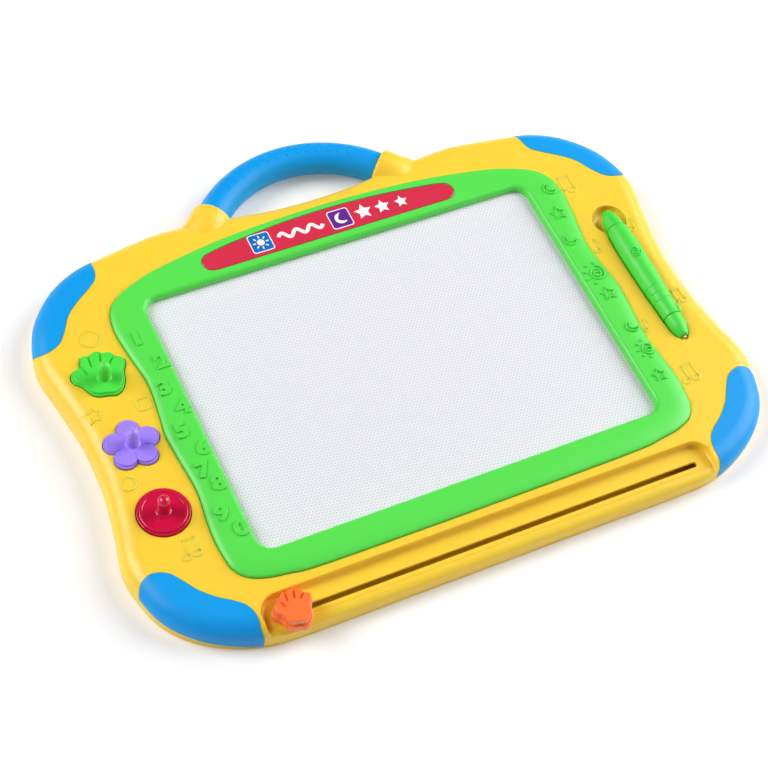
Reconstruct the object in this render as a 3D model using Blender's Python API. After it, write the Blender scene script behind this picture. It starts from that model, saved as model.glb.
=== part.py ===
# Magnetic drawing board for children: moulded housing, sealed drawing panel, sliding eraser,
# three magnetic stamps, a magnetic pen and a carry handle. Metres, +Z up, back of the board on Z = 0.
# Shapes are drawn on a plan whose origin is the middle of the drawing screen.

import math

import bmesh
import bpy
from mathutils import Matrix, Vector

# Fits and walls
GAP = 0.0003
OVERRUN = 0.003
WALL = 0.0022

# Drawing panel
SCREEN_HALF_WIDTH = 0.130
SCREEN_HALF_HEIGHT = 0.0915
SCREEN_CORNER = 0.009
SCREEN_DEPTH = 0.002
FRONT_FILM = 0.0005
CELL_CORE = 0.0014
BACK_FILM = 0.0003
PANEL_SIDE_MARGIN = 0.010
PANEL_END_MARGIN = 0.0065
PANEL_SEAT = 0.005
PANEL_CORNER = 0.004

# Housing
BOARD_HEIGHT = 0.020
SHOULDER_WIDTH = 0.012
SHOULDER_RISE = 0.010
COVER_THICKNESS = 0.0025
COVER_EDGE_RADIUS = 0.0015
COVER_RIB = 0.0015
COVER_RIB_HEIGHT = 0.003

# Bezel round the screen
BEZEL_SIDE_BAND = 0.0226
BEZEL_FRONT_BAND = 0.0197
BEZEL_BACK_BAND = 0.031
BEZEL_RISE = 0.0035
BEZEL_SHOULDER = 0.0055
BEZEL_LIP_RADIUS = 0.003
BEZEL_RECESS = 0.0012

# Label plate
LABEL_HALF_WIDTH = 0.086
LABEL_HEIGHT = 0.0202
LABEL_MARGIN = 0.0057
LABEL_THICKNESS = 0.0011
LABEL_DEPTH = 0.0012

# Stamps
STAMP_RADIUS = 0.017
STAMP_PROUD = 0.0026
STAMP_HEIGHT = 0.0087
STAMP_STEP = 0.0013
STAMP_CLEARANCE = 0.0005
STAMP_MAGNET = 0.0018
STAMP_MAGNET_PROUD = 0.0006
STAMP_MAGNET_MARGIN = 0.002
POST_RADIUS = 0.0038
POST_HEIGHT = 0.0138
HAND_STAMP_Y = 0.0525
FLOWER_STAMP_Y = 0.0008
ROUND_STAMP_Y = -0.0469
ROUND_STAMP_TRIM = 0.0016
FLOWER_TURN = math.radians(84)

# Strips of housing beside the stamps
INNER_STRIP = 0.0019
OUTER_STRIP = 0.016

# Pen and its groove
PEN_LENGTH = 0.105
PEN_RADIUS = 0.0076
PEN_TIP_Y = -0.0505
PEN_LIFT = 0.0004
PEN_MARGIN = 0.0012
PEN_TIP_RADIUS = 0.0011
PEN_SPIGOT_RADIUS = 0.0042
PEN_SPIGOT_LENGTH = 0.007
PEN_RING_DEPTH = 0.0004
PEN_RING_WIDTH = 0.0012
PEN_LUG_RADIUS = 0.0022
PEN_LUG_TURN = math.radians(62)
FINGER_DIP_RADIUS = 0.0112
FINGER_DIP_FROM_END = 0.006

# Ledge and eraser slot
LEDGE_BAND = 0.0286
LEDGE_STRIP = 0.0047
LEDGE_DROP = 0.006
LEDGE_COVE = 0.0022
LEDGE_CORNER = 0.012
LEDGE_FLOOR = 0.002
LEDGE_END_STRIP = 0.0023
APRON_WIDTH = 0.0063
APRON_FALL = 0.0018
SLOT_WIDTH = 0.0034
SLOT_FROM_COVE = 0.011
SLOT_END_MARGIN = 0.0106
SLOT_BEYOND_SCREEN = 0.0057

# Eraser
KNOB_RADIUS = 0.0123
KNOB_SETBACK = 0.0012
KNOB_HEIGHT = 0.0104
KNOB_BASE_HEIGHT = 0.0048
KNOB_STEP = 0.0013
NECK_HALF_LENGTH = 0.006
PRONG = 0.003
BARB = 0.001
BARB_HEIGHT = 0.0017
CARRIER_WIDTH = 0.009
CARRIER_THICKNESS = 0.0024
CARRIER_SPINE = 0.0013
CARRIER_END_MARGIN = 0.005
ERASER_MAGNET_WIDTH = 0.008
ERASER_MAGNET_THICKNESS = 0.0023
ERASER_MAGNET_MARGIN = 0.0015
RAIL = 0.002
END_STOP_MARGIN = 0.0022

# Strip between the bezel and the back edge
BACK_STRIP = 0.0202

# Corner grips
GRIP_THICKNESS = 0.0012
GRIP_PROUD = 0.0002
GRIP_RISE = 0.006

# Carry handle and its sockets
HANDLE_RADIUS = 0.0103
HANDLE_MIDDLE = -0.0045
HANDLE_SPREAD = 0.0575
HANDLE_RISE = 0.0249
HANDLE_SPIGOT_RADIUS = 0.0073
HANDLE_SPIGOT_LENGTH = 0.013
SOCKET_WALL = 0.003
SOCKET_RIM = 0.0022
SOCKET_REACH = 0.0018
MOUTH_CLEARANCE = 0.0009
MOUTH_LENGTH = 0.011
SOCKET_LENGTH = 0.022

# Fasteners
SCREW_RADIUS = 0.0015
SCREW_HEAD_RADIUS = 0.0033
SCREW_HEAD_HEIGHT = 0.0024
SCREW_LENGTH = 0.010
BOSS_WALL = 0.0018
WELL_HEIGHT = 0.0045
BEZEL_SCREW_HEAD_RADIUS = 0.0038
BEZEL_SCREW_HEAD_HEIGHT = 0.0018
BEZEL_SCREW_LENGTH = 0.0038
BEZEL_BOSS_RADIUS = 0.0033

# Facets
SHARP_ANGLE = math.radians(35)
CURVE_STEPS = 2
SHOULDER_STEPS = 4
CORNER_STEPS = 4
ROUND_SIDES = 24
GROOVE_SIDES = 16
PEN_SIDES = 14
POST_SIDES = 12
DOME_STEPS = 3
RIM_STEPS = 2
FASTENER_SIDES = 8
HANDLE_SIDES = 16
HANDLE_STEPS = 14

# Sizes that follow
panel_half_width = SCREEN_HALF_WIDTH + PANEL_SIDE_MARGIN
panel_half_height = SCREEN_HALF_HEIGHT + PANEL_END_MARGIN
bezel_half_width = SCREEN_HALF_WIDTH + BEZEL_SIDE_BAND
bezel_front = -SCREEN_HALF_HEIGHT - BEZEL_FRONT_BAND
bezel_back = SCREEN_HALF_HEIGHT + BEZEL_BACK_BAND
stamp_x = bezel_half_width + INNER_STRIP + STAMP_RADIUS
board_half_width = stamp_x + STAMP_RADIUS + OUTER_STRIP
board_front = bezel_front - LEDGE_BAND
board_back = bezel_back + BACK_STRIP
handle_y = board_back + SOCKET_REACH
handle_z = HANDLE_RADIUS + GAP
shell_z = COVER_THICKNESS + GAP
ceiling_z = BOARD_HEIGHT - WALL
film_z = BOARD_HEIGHT - SCREEN_DEPTH
core_z = film_z - FRONT_FILM - GAP
back_film_z = core_z - CELL_CORE - GAP
seat_z = back_film_z - BACK_FILM - GAP
recess_z = BOARD_HEIGHT - BEZEL_RECESS
bezel_z = BOARD_HEIGHT + BEZEL_RISE
ledge_z = BOARD_HEIGHT - LEDGE_DROP
eraser_magnet_z = seat_z - ERASER_MAGNET_THICKNESS
arm_z = eraser_magnet_z - GAP - CARRIER_SPINE
carrier_z = arm_z - CARRIER_THICKNESS
pocket_z = BOARD_HEIGHT + STAMP_PROUD - STAMP_HEIGHT - STAMP_MAGNET_PROUD - GAP
pen_z = BOARD_HEIGHT + PEN_LIFT
slot_half = SCREEN_HALF_WIDTH + SLOT_BEYOND_SCREEN
ledge_half = slot_half + SLOT_END_MARGIN
slot_y = bezel_front - LEDGE_STRIP - LEDGE_COVE - SLOT_FROM_COVE
knob_y = slot_y - KNOB_SETBACK

# Half outlines from the front middle to the back middle, as shares of half width and of depth
BOARD_SHARES = (
    (0, 0), (0.3, 0), (0.59, 0), (0.708, 0.006), (0.806, 0.03), (0.888, 0.066), (0.953, 0.118),
    (0.986, 0.18), (1, 0.252), (0.978, 0.336), (0.958, 0.423), (0.953, 0.494), (0.956, 0.574),
    (0.975, 0.667), (0.994, 0.761), (0.966, 0.842), (0.919, 0.895), (0.853, 0.939), (0.77, 0.969),
    (0.668, 0.984), (0.575, 0.994), (0.489, 1), (0.373, 0.994), (0.251, 0.984), (0.131, 0.973), (0, 0.969),
)
BEZEL_SHARES = (
    (0, 0), (0.65, 0.002), (0.796, 0.011), (0.873, 0.019), (0.94, 0.037), (0.976, 0.066), (0.988, 0.099),
    (0.994, 0.151), (0.99, 0.21), (0.975, 0.299), (0.988, 0.412), (0.993, 0.475), (0.982, 0.535),
    (0.969, 0.63), (0.99, 0.733), (1, 0.793), (0.998, 0.834), (0.982, 0.873), (0.934, 0.908),
    (0.847, 0.935), (0.727, 0.958), (0.484, 0.984), (0.252, 0.996), (0, 1),
)
LABEL_SHARES = (
    (0, 0), (0.45, 0), (0.85, 0), (0.925, 0.01), (0.978, 0.1), (1, 0.33), (0.978, 0.55), (0.92, 0.665),
    (0.7, 0.81), (0.35, 0.955), (0, 1),
)
# Corner grips on the plan, as shares of the width from the ledge's end to the board's side, and of the depth
FRONT_GRIP_SHARES = (
    (0, -0.043), (0, 0.02), (-0.011, 0.048), (0.032, 0.075), (0.13, 0.094), (0.278, 0.115),
    (0.419, 0.143), (0.527, 0.175), (0.621, 0.198), (0.762, 0.209), (0.903, 0.201), (0.982, 0.175),
    (1.134, 0.136), (1.134, 0.034), (0.729, -0.043),
)
BACK_GRIP_SHARES = (
    (-0.018, 1.045), (-0.018, 0.957), (0.014, 0.92), (0.123, 0.899), (0.289, 0.876), (0.455, 0.847),
    (0.57, 0.81), (0.675, 0.785), (0.816, 0.774), (0.939, 0.782), (1.007, 0.81), (1.148, 0.841),
    (1.116, 0.947), (0.729, 1.034),
)
# Ends of each grip's lower edge, which climbs from the first to the second
FRONT_GRIP_END_SHARES = ((0, 0), (0.964, 0.165))
BACK_GRIP_END_SHARES = ((-0.018, 0.985), (0.964, 0.82))
# An open hand with the thumb at the left, as shares of its radius
HAND_SHARES = (
    (-1, 0.15), (-0.92, 0.35), (-0.75, 0.465), (-0.56, 0.475), (-0.51, 0.68), (-0.42, 0.85), (-0.28, 0.91),
    (-0.12, 0.865), (-0.01, 0.91), (0.135, 0.96), (0.28, 0.905), (0.38, 0.805), (0.55, 0.795), (0.665, 0.71),
    (0.73, 0.56), (0.84, 0.495), (0.97, 0.38), (1, 0.235), (0.93, 0.06), (0.8, -0.16), (0.755, -0.38),
    (0.635, -0.645), (0.46, -0.855), (0.225, -0.96), (-0.04, -0.88), (-0.335, -0.82), (-0.54, -0.675),
    (-0.66, -0.44), (-0.765, -0.235), (-0.94, -0.06),
)
HAND_LOW_SHARE = -0.96
HAND_POST_SHARE = (0.07, -0.19)
FLOWER_PETAL_SHARE = 0.405
# Pen radius along its length from the tip, as shares of the largest radius and of the length
PEN_NOSE_SHARES = ((0.3, 0.016), (0.47, 0.028), (0.69, 0.0755), (0.745, 0.118), (0.765, 0.158))
PEN_BARREL_SHARES = (
    (0.8, 0.161), (0.82, 0.21), (0.885, 0.29), (0.955, 0.408), (1, 0.66), (0.95, 0.77), (0.84, 0.859),
)
PEN_CAP_SHARES = ((0.83, 0.862), (0.72, 0.922), (0.58, 0.962), (0.33, 0.992))
# Handle socket behind its rim: distance along it, half width and rise, as shares of its length and size
SOCKET_SHARES = ((0.4, 1.01, 0.96), (0.7, 1.07, 0.85), (1, 1.2, 0.69))
PEN_RING_SHARES = (0.271, 0.322, 0.372)
PEN_LUG_SHARE = 0.186
# Fastener places, as shares of the board's half width and depth
HOUSING_SCREW_SHARES = ((0.85, 0.125), (0.715, 0.28), (0.715, 0.585), (0.8, 0.872), (0.2, 0.921))
# Bezel fasteners, as shares of the screen's half width and of the band beside the panel
BEZEL_SCREW_SHARES = (-0.85, 0, 0.85)
# Places of the rails under the eraser, as shares of the panel's half height
RAIL_SHARES = (0, 0.9)

# The board's origin is the middle of its box, from the front of the eraser knob to the handle
front_reach = min(board_front, knob_y + HAND_LOW_SHARE * KNOB_RADIUS)
screen_y = -(handle_y + HANDLE_RISE + HANDLE_RADIUS + front_reach) / 2


def material(name, red, green, blue, roughness, metallic=0.0):
    made = bpy.data.materials.new(name)
    made.use_nodes = True
    shader = made.node_tree.nodes["Principled BSDF"]
    shader.inputs["Base Color"].default_value = (red, green, blue, 1)
    shader.inputs["Roughness"].default_value = roughness
    shader.inputs["Metallic"].default_value = metallic
    return made


def empty(name, x, y, z, parent=None):
    made = bpy.data.objects.new(name, None)
    made.location = (x, y, z)
    made.parent = parent
    bpy.context.scene.collection.objects.link(made)
    return made


def add(name, shape, finish, carrier):
    """Object for a shape drawn on the plan, with its origin on the carrier."""
    mesh = bpy.data.meshes.new(name)
    if carrier.parent:
        bmesh.ops.translate(shape, vec=-carrier.location, verts=shape.verts)
    shape.to_mesh(mesh)
    shape.free()
    made = bpy.data.objects.new(name, mesh)
    made.parent = carrier
    bpy.context.scene.collection.objects.link(made)
    if finish:
        mesh.materials.append(finish)
        mesh.shade_smooth()
        mesh.set_sharp_from_angle(angle=SHARP_ANGLE)
    else:
        made.hide_render = True
        made.display_type = "WIRE"
    return made


def combine(target, tool, operation):
    modifier = target.modifiers.new(tool.name, "BOOLEAN")
    modifier.operation = operation
    modifier.object = tool
    return target


def cut(target, *tools):
    for tool in tools:
        combine(target, tool, "DIFFERENCE")
    return target


def join(target, *tools):
    for tool in tools:
        combine(target, tool, "UNION")
    return target


def anticlockwise(loop):
    area = sum(a.x * b.y - b.x * a.y for a, b in zip(loop, loop[1:] + loop[:1]))
    return loop if area > 0 else loop[::-1]


def curve(points, steps):
    """Closed smooth curve through the points."""
    count = len(points)
    loop = []
    for i in range(count):
        a, b, c, d = (points[(i + k) % count] for k in (-1, 0, 1, 2))
        for step in range(steps):
            t = step / steps
            bend = (2 * a - 5 * b + 4 * c - d) * t**2 + (3 * b - a - 3 * c + d) * t**3
            loop.append(b + ((c - a) * t + bend) / 2)
    return loop


def mirrored(shares, half_width, front, depth, steps):
    """Whole outline from half of it, as a smooth closed curve."""
    half = [Vector((x * half_width, front + y * depth)) for x, y in shares]
    other = [Vector((-p.x, p.y)) for p in half[-2:0:-1]]
    return curve(half + other, steps)


def offset(loop, distance):
    """The loop moved outwards, or inwards where the distance is negative."""
    moved = []
    for i, point in enumerate(loop):
        before = (point - loop[i - 1]).normalized()
        after = (loop[(i + 1) % len(loop)] - point).normalized()
        out_before = Vector((before.y, -before.x))
        out_after = Vector((after.y, -after.x))
        moved.append(point + (out_before + out_after) * distance / (1 + out_before.dot(out_after)))
    return moved


def circle(x, y, radius, sides):
    angles = [2 * math.pi * i / sides for i in range(sides)]
    return [Vector((x + radius * math.cos(a), y + radius * math.sin(a))) for a in angles]


def rectangle(half_width, half_height, radius=0, x=0, y=0):
    """Rectangle about (x, y), with rounded corners where a radius is given."""
    if not radius:
        corners = ((-1, -1), (1, -1), (1, 1), (-1, 1))
        return [Vector((x + i * half_width, y + j * half_height)) for i, j in corners]
    loop = []
    for turn, (i, j) in enumerate(((1, 1), (-1, 1), (-1, -1), (1, -1))):
        centre = Vector((x + i * (half_width - radius), y + j * (half_height - radius)))
        for step in range(CORNER_STEPS + 1):
            angle = (turn + step / CORNER_STEPS) * math.pi / 2
            loop.append(centre + radius * Vector((math.cos(angle), math.sin(angle))))
    return loop


def loft(rings):
    """Closed body through rings of points, bottom to top. Each ring has a height, or one for each point."""
    shape = bmesh.new()
    rows = []
    for loop, height in rings:
        heights = height if isinstance(height, list) else [height] * len(loop)
        rows.append([shape.verts.new((p.x, p.y, z)) for p, z in zip(loop, heights)])
    for low, high in zip(rows, rows[1:]):
        for i in range(len(low)):
            shape.faces.new((low[i - 1], low[i], high[i], high[i - 1]))
    shape.faces.new(rows[0][::-1])
    shape.faces.new(rows[-1])
    return shape


def prism(loop, low, high):
    return loft([(loop, low), (loop, high)])


def stepped(loop, profile):
    """Body whose outline is moved out by the first value at the height that is the second."""
    return loft([(offset(loop, out), height) for out, height in profile])


def turned(profile, sides):
    """Body turned about Z, from (radius, height) points, bottom to top."""
    shape = bmesh.new()
    rows = []
    for radius, height in profile:
        if radius:
            rows.append([shape.verts.new((p.x, p.y, height)) for p in circle(0, 0, radius, sides)])
        else:
            rows.append([shape.verts.new((0, 0, height))])
    for low, high in zip(rows, rows[1:]):
        for i in range(sides):
            corners = [low[i - 1], low[i], high[i], high[i - 1]] if len(low) == len(high) else None
            if len(low) == 1:
                corners = [low[0], high[i], high[i - 1]]
            if len(high) == 1:
                corners = [low[i - 1], low[i], high[0]]
            shape.faces.new(corners)
    return shape


def moved(shape, matrix):
    bmesh.ops.transform(shape, matrix=matrix, verts=shape.verts)
    return shape


def together(shapes):
    """One mesh that holds several separate bodies."""
    whole = bmesh.new()
    for shape in shapes:
        mesh = bpy.data.meshes.new("body")
        shape.to_mesh(mesh)
        shape.free()
        whole.from_mesh(mesh)
        bpy.data.meshes.remove(mesh)
    return whole


def standing(shape, x, y, z=0):
    return moved(shape, Matrix.Translation((x, y, z)))


def peg(x, y, radius, low, high, sides=FASTENER_SIDES):
    return standing(turned([(0, low), (radius, low), (radius, high), (0, high)], sides), x, y)


def housing_outline(steps=CURVE_STEPS):
    return mirrored(BOARD_SHARES, board_half_width, board_front, board_back - board_front, steps)


def bezel_outline():
    return mirrored(BEZEL_SHARES, bezel_half_width, bezel_front, bezel_back - bezel_front, CURVE_STEPS)


def housing_form(inset, low, steps=CURVE_STEPS, shoulder_steps=SHOULDER_STEPS):
    """Outer form of the housing above a height, moved in by a distance."""
    width = SHOULDER_WIDTH - inset
    rise = SHOULDER_RISE - inset
    outline = housing_outline(steps)
    rings = [(offset(outline, -inset), low)]
    for step in range(shoulder_steps + 1):
        angle = step / shoulder_steps * math.pi / 2
        inward = SHOULDER_WIDTH - width * math.cos(angle)
        rings.append((offset(outline, -inward), BOARD_HEIGHT - SHOULDER_RISE + rise * math.sin(angle)))
    return loft(rings)


def board_point(x_share, y_share):
    return Vector((x_share * board_half_width, board_front + y_share * (board_back - board_front)))


def grip_point(x_share, y_share):
    start = ledge_half + LEDGE_END_STRIP
    return Vector((start + x_share * (board_half_width - start), board_point(0, y_share).y))


def hand_outline(radius, x, y):
    return anticlockwise([Vector((x + a * radius, y + b * radius)) for a, b in HAND_SHARES])


def flower_outline(radius, x, y):
    """Five round petals, one near the top. Each arc starts where it leaves the petal before."""
    petal_radius = radius * FLOWER_PETAL_SHARE
    apart = math.pi / 5
    reach = apart + math.asin((radius - petal_radius) / petal_radius * math.sin(apart))
    petals = []
    for petal in range(5):
        turn = FLOWER_TURN + 2 * apart * petal
        centre = Vector((x, y)) + (radius - petal_radius) * Vector((math.cos(turn), math.sin(turn)))
        for step in range(-3, 3):
            angle = turn + reach * step / 3
            petals.append(centre + petal_radius * Vector((math.cos(angle), math.sin(angle))))
    return petals


def round_outline(radius, x, y):
    return circle(x, y, radius, ROUND_SIDES)


def figure(outline, radius, x, y, profile):
    """Body whose outline is drawn at the radius plus a pair's first value, at the height that is second."""
    return loft([(outline(radius + out, x, y), height) for out, height in profile])


def pen_radius_at(share):
    """Radius of the closed pen at a share of its length."""
    table = PEN_NOSE_SHARES + PEN_BARREL_SHARES + PEN_CAP_SHARES
    for (r0, s0), (r1, s1) in zip(table, table[1:]):
        if s0 <= share <= s1:
            return (r0 + (r1 - r0) * (share - s0) / (s1 - s0)) * PEN_RADIUS
    return 0


def pen_profile(shares):
    return [(r * PEN_RADIUS, s * PEN_LENGTH) for r, s in shares]


def along_pen(shape, lift=0):
    """A body turned about Z, laid along the pen's axis with its foot at the tip."""
    lay = Matrix.Translation((stamp_x, PEN_TIP_Y, pen_z + lift)) @ Matrix.Rotation(-math.pi / 2, 4, "X")
    return moved(shape, lay)


def socket_matrix(side):
    """Frame at a handle socket's face: local Z runs into the housing, local Y points up."""
    turn = math.asin(HANDLE_SPREAD / handle_arc_radius())
    inward = Vector((side * math.cos(turn), -math.sin(turn), 0))
    up = Vector((0, 0, 1))
    across = up.cross(inward)
    frame = Matrix((across, up, inward)).transposed().to_4x4()
    frame.translation = (HANDLE_MIDDLE + side * HANDLE_SPREAD, handle_y, handle_z)
    return frame


def handle_arc_radius():
    return (HANDLE_SPREAD**2 + HANDLE_RISE**2) / (2 * HANDLE_RISE)


def arch(width, rise, foot):
    """Half ellipse over straight sides that reach down to the foot."""
    half = HANDLE_SIDES // 2
    loop = [Vector((width * math.cos(i * math.pi / half), rise * math.sin(i * math.pi / half)))
            for i in range(half + 1)]
    return loop + [Vector((-width, foot)), Vector((width, foot))]


def socket_sizes(outer):
    """Distance from the socket's face, half width and rise, from its rounded rim into the housing."""
    sizes = []
    for step in range(RIM_STEPS + 1):
        angle = step / RIM_STEPS * math.pi / 2
        size = outer - SOCKET_RIM * (1 - math.sin(angle))
        sizes.append((SOCKET_RIM * (1 - math.cos(angle)), size, size))
    return sizes + [(along * SOCKET_LENGTH, wide * outer, tall * outer) for along, wide, tall in SOCKET_SHARES]


def grip_column(shares, end_shares, side, grow):
    """Upright column over a corner grip, whose lower face climbs towards the board's side."""
    loop = [grip_point(x, y) for x, y in shares]
    foot, head = (grip_point(x, y) for x, y in end_shares)
    run = head - foot
    loop = offset(anticlockwise(loop), grow)
    low = [shell_z - grow + GAP + GRIP_RISE * (p - foot).dot(run) / run.dot(run) for p in loop]
    if side < 0:
        loop = [Vector((-p.x, p.y)) for p in loop[::-1]]
        low = low[::-1]
    return loft([(loop, low), (loop, BOARD_HEIGHT + OVERRUN)])


def build_housing(frame, yellow, blue):
    front = add("front_shell", housing_form(0, shell_z), yellow, frame)
    cover_loop = housing_outline()
    cover = add("rear_cover", stepped(cover_loop, (
        (-COVER_EDGE_RADIUS, 0), (0, COVER_EDGE_RADIUS), (0, COVER_THICKNESS))), yellow, frame)

    # Handle sockets stand on the back edge, above a tongue of the cover
    for side, label in ((-1, "left"), (1, "right")):
        outer = HANDLE_RADIUS + SOCKET_WALL
        to_place = socket_matrix(side)
        foot = shell_z - handle_z
        sizes = socket_sizes(outer)
        ear = loft([(arch(width, rise, foot), along) for along, width, rise in sizes])
        join(front, add("socket_form_" + label, moved(ear, to_place), None, frame))
        tongue = loft([(rectangle(width, COVER_THICKNESS / 2, 0, 0, COVER_THICKNESS / 2 - handle_z), along)
                       for along, width, _ in sizes])
        join(cover, add("tongue_form_" + label, moved(tongue, to_place), None, frame))

    # The cavity is what the blocks under pockets, ledge and screen leave free
    cavity = add("cavity", housing_form(WALL, -OVERRUN, 1, 2), None, frame)
    block_top = BOARD_HEIGHT + OVERRUN
    panel = rectangle(panel_half_width + GAP + WALL, panel_half_height + GAP + WALL, PANEL_CORNER)
    cut(cavity, add("panel_block", prism(panel, seat_z - WALL, block_top), None, frame))
    ledge_block = rectangle(ledge_half + WALL, LEDGE_BAND - LEDGE_STRIP + WALL, 0, 0, board_front)
    cut(cavity, add("ledge_block", prism(ledge_block, ledge_z - LEDGE_FLOOR, block_top), None, frame))
    for name, (_, radius, y) in stamp_figures().items():
        block = peg(-stamp_x, y, radius + STAMP_CLEARANCE + WALL, pocket_z - WALL, block_top, GROOVE_SIDES)
        cut(cavity, add(name + "_block", block, None, frame))
    pen_half = (PEN_LENGTH + FINGER_DIP_RADIUS) / 2
    pen_block = rectangle(PEN_RADIUS + PEN_MARGIN + WALL, pen_half + WALL, PEN_RADIUS,
                          stamp_x, PEN_TIP_Y + pen_half - WALL)
    cut(cavity, add("pen_block", prism(pen_block, pen_z - PEN_RADIUS - GAP - WALL, block_top), None, frame))
    dip_y = PEN_TIP_Y + PEN_LENGTH - FINGER_DIP_FROM_END
    dip_depth = PEN_RADIUS - PEN_LIFT + GAP
    dip_block = peg(stamp_x, dip_y, FINGER_DIP_RADIUS + WALL, BOARD_HEIGHT - dip_depth - WALL,
                    block_top, GROOVE_SIDES)
    cut(cavity, add("dip_block", dip_block, None, frame))
    well_top = COVER_THICKNESS + WELL_HEIGHT
    bosses = [peg(x, y, SCREW_RADIUS + GAP + BOSS_WALL, well_top + GAP, block_top)
              for x, y in housing_screw_places()]
    cut(cavity, add("boss_blocks", together(bosses), None, frame))
    cut(front, cavity)

    # Screen opening: a seat for the panel, and a recess for the bezel
    seat = rectangle(panel_half_width + GAP, panel_half_height + GAP, PANEL_CORNER)
    opening = rectangle(panel_half_width - PANEL_SEAT, panel_half_height - PANEL_SEAT, PANEL_CORNER)
    cut(front, add("panel_seat", prism(seat, seat_z, block_top), None, frame))
    cut(front, add("opening", prism(opening, seat_z - WALL - OVERRUN, block_top), None, frame))
    cut(front, add("bezel_seat", prism(offset(bezel_outline(), GAP), recess_z, block_top), None, frame))
    holes = [peg(x, y, BEZEL_BOSS_RADIUS + GAP, ceiling_z - OVERRUN, block_top)
             for x, y in bezel_screw_places()]
    cut(front, add("bezel_boss_holes", together(holes), None, frame))

    # Ledge with a coved back wall, a slot for the eraser and a sloping front apron
    ledge_depth = LEDGE_BAND - LEDGE_STRIP + OVERRUN
    ledge = rectangle(ledge_half, ledge_depth, LEDGE_CORNER, 0, board_front - OVERRUN)
    cove = ((-LEDGE_COVE, ledge_z), (-LEDGE_COVE / 2, ledge_z + LEDGE_DROP / 6),
            (-LEDGE_COVE / 5, ledge_z + LEDGE_DROP / 2), (0, block_top))
    cut(front, add("ledge", stepped(ledge, cove), None, frame))
    slot = rectangle(slot_half, SLOT_WIDTH / 2, SLOT_WIDTH / 2, 0, slot_y)
    cut(front, add("slot", prism(slot, ledge_z - LEDGE_FLOOR - OVERRUN, ledge_z + OVERRUN), None, frame))
    apron_top = board_front + APRON_WIDTH
    reach = APRON_WIDTH + OVERRUN
    slope = [Vector((apron_top, ledge_z)), Vector((apron_top, ledge_z + OVERRUN)),
             Vector((apron_top - reach, ledge_z + OVERRUN)),
             Vector((apron_top - reach, ledge_z - APRON_FALL * reach / APRON_WIDTH))]
    stand_up = Matrix(((0, 0, 1, 0), (1, 0, 0, 0), (0, 1, 0, 0), (0, 0, 0, 1)))
    apron_half = ledge_half - LEDGE_COVE
    apron = prism(anticlockwise(slope), -apron_half, apron_half)
    cut(front, add("apron", moved(apron, stand_up), None, frame))

    # Pockets for the stamps and the pen
    for name, (outline, radius, y) in stamp_figures().items():
        pocket = prism(outline(radius + STAMP_CLEARANCE, -stamp_x, y), pocket_z, block_top)
        cut(front, add(name + "_pocket", pocket, None, frame))
    pen = pen_profile(PEN_NOSE_SHARES[:-1] + PEN_BARREL_SHARES + PEN_CAP_SHARES)
    groove = [(0, -PEN_MARGIN), (PEN_TIP_RADIUS + PEN_MARGIN, -PEN_MARGIN / 2)]
    groove += [(radius + PEN_MARGIN, y) for radius, y in pen] + [(0, PEN_LENGTH + PEN_MARGIN)]
    cut(front, add("pen_groove", along_pen(turned(groove, GROOVE_SIDES), PEN_MARGIN - GAP), None, frame))
    dip = turned([(0, -dip_depth), (FINGER_DIP_RADIUS / 2, -dip_depth),
                  (FINGER_DIP_RADIUS * 3 / 4, -dip_depth * 2 / 3),
                  (FINGER_DIP_RADIUS + OVERRUN / 2, OVERRUN), (0, OVERRUN)], GROOVE_SIDES)
    cut(front, add("finger_dip", standing(dip, stamp_x, dip_y, BOARD_HEIGHT), None, frame))

    # Corner grips lie in shallow recesses that wrap over the shoulder
    skin = add("grip_skin", housing_form(-GRIP_PROUD, -OVERRUN), None, frame)
    inner = GRIP_THICKNESS - GRIP_PROUD
    core = add("grip_core", housing_form(inner, -OVERRUN * 2, 1), None, frame)
    bed = add("grip_bed", housing_form(inner + GAP, -OVERRUN * 2, 1), None, frame)
    for end, shares, ends in (("front", FRONT_GRIP_SHARES, FRONT_GRIP_END_SHARES),
                              ("back", BACK_GRIP_SHARES, BACK_GRIP_END_SHARES)):
        for side, label in ((-1, "left"), (1, "right")):
            grip = add(f"corner_grip_{end}_{label}", grip_column(shares, ends, side, 0), blue, frame)
            combine(grip, skin, "INTERSECT")
            cut(grip, core)
            recess = add(f"grip_recess_{end}_{label}", grip_column(shares, ends, side, GAP), None, frame)
            cut(recess, bed)
            cut(front, recess)

    # Sockets are open below, so that the handle drops in before the cover closes them, and the
    # housing's edge is scooped out beside the bar
    for side, label in ((-1, "left"), (1, "right")):
        mouth = prism(circle(0, 0, HANDLE_RADIUS + MOUTH_CLEARANCE, HANDLE_SIDES), -MOUTH_LENGTH, -GAP / 2)
        cut(front, add("socket_mouth_" + label, moved(mouth, socket_matrix(side)), None, frame))
        bore = arch(HANDLE_SPIGOT_RADIUS + GAP, HANDLE_SPIGOT_RADIUS + GAP, -handle_z)
        bore = prism(bore, -OVERRUN, HANDLE_SPIGOT_LENGTH + GAP)
        cut(front, add("socket_bore_" + label, moved(bore, socket_matrix(side)), None, frame))

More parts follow.
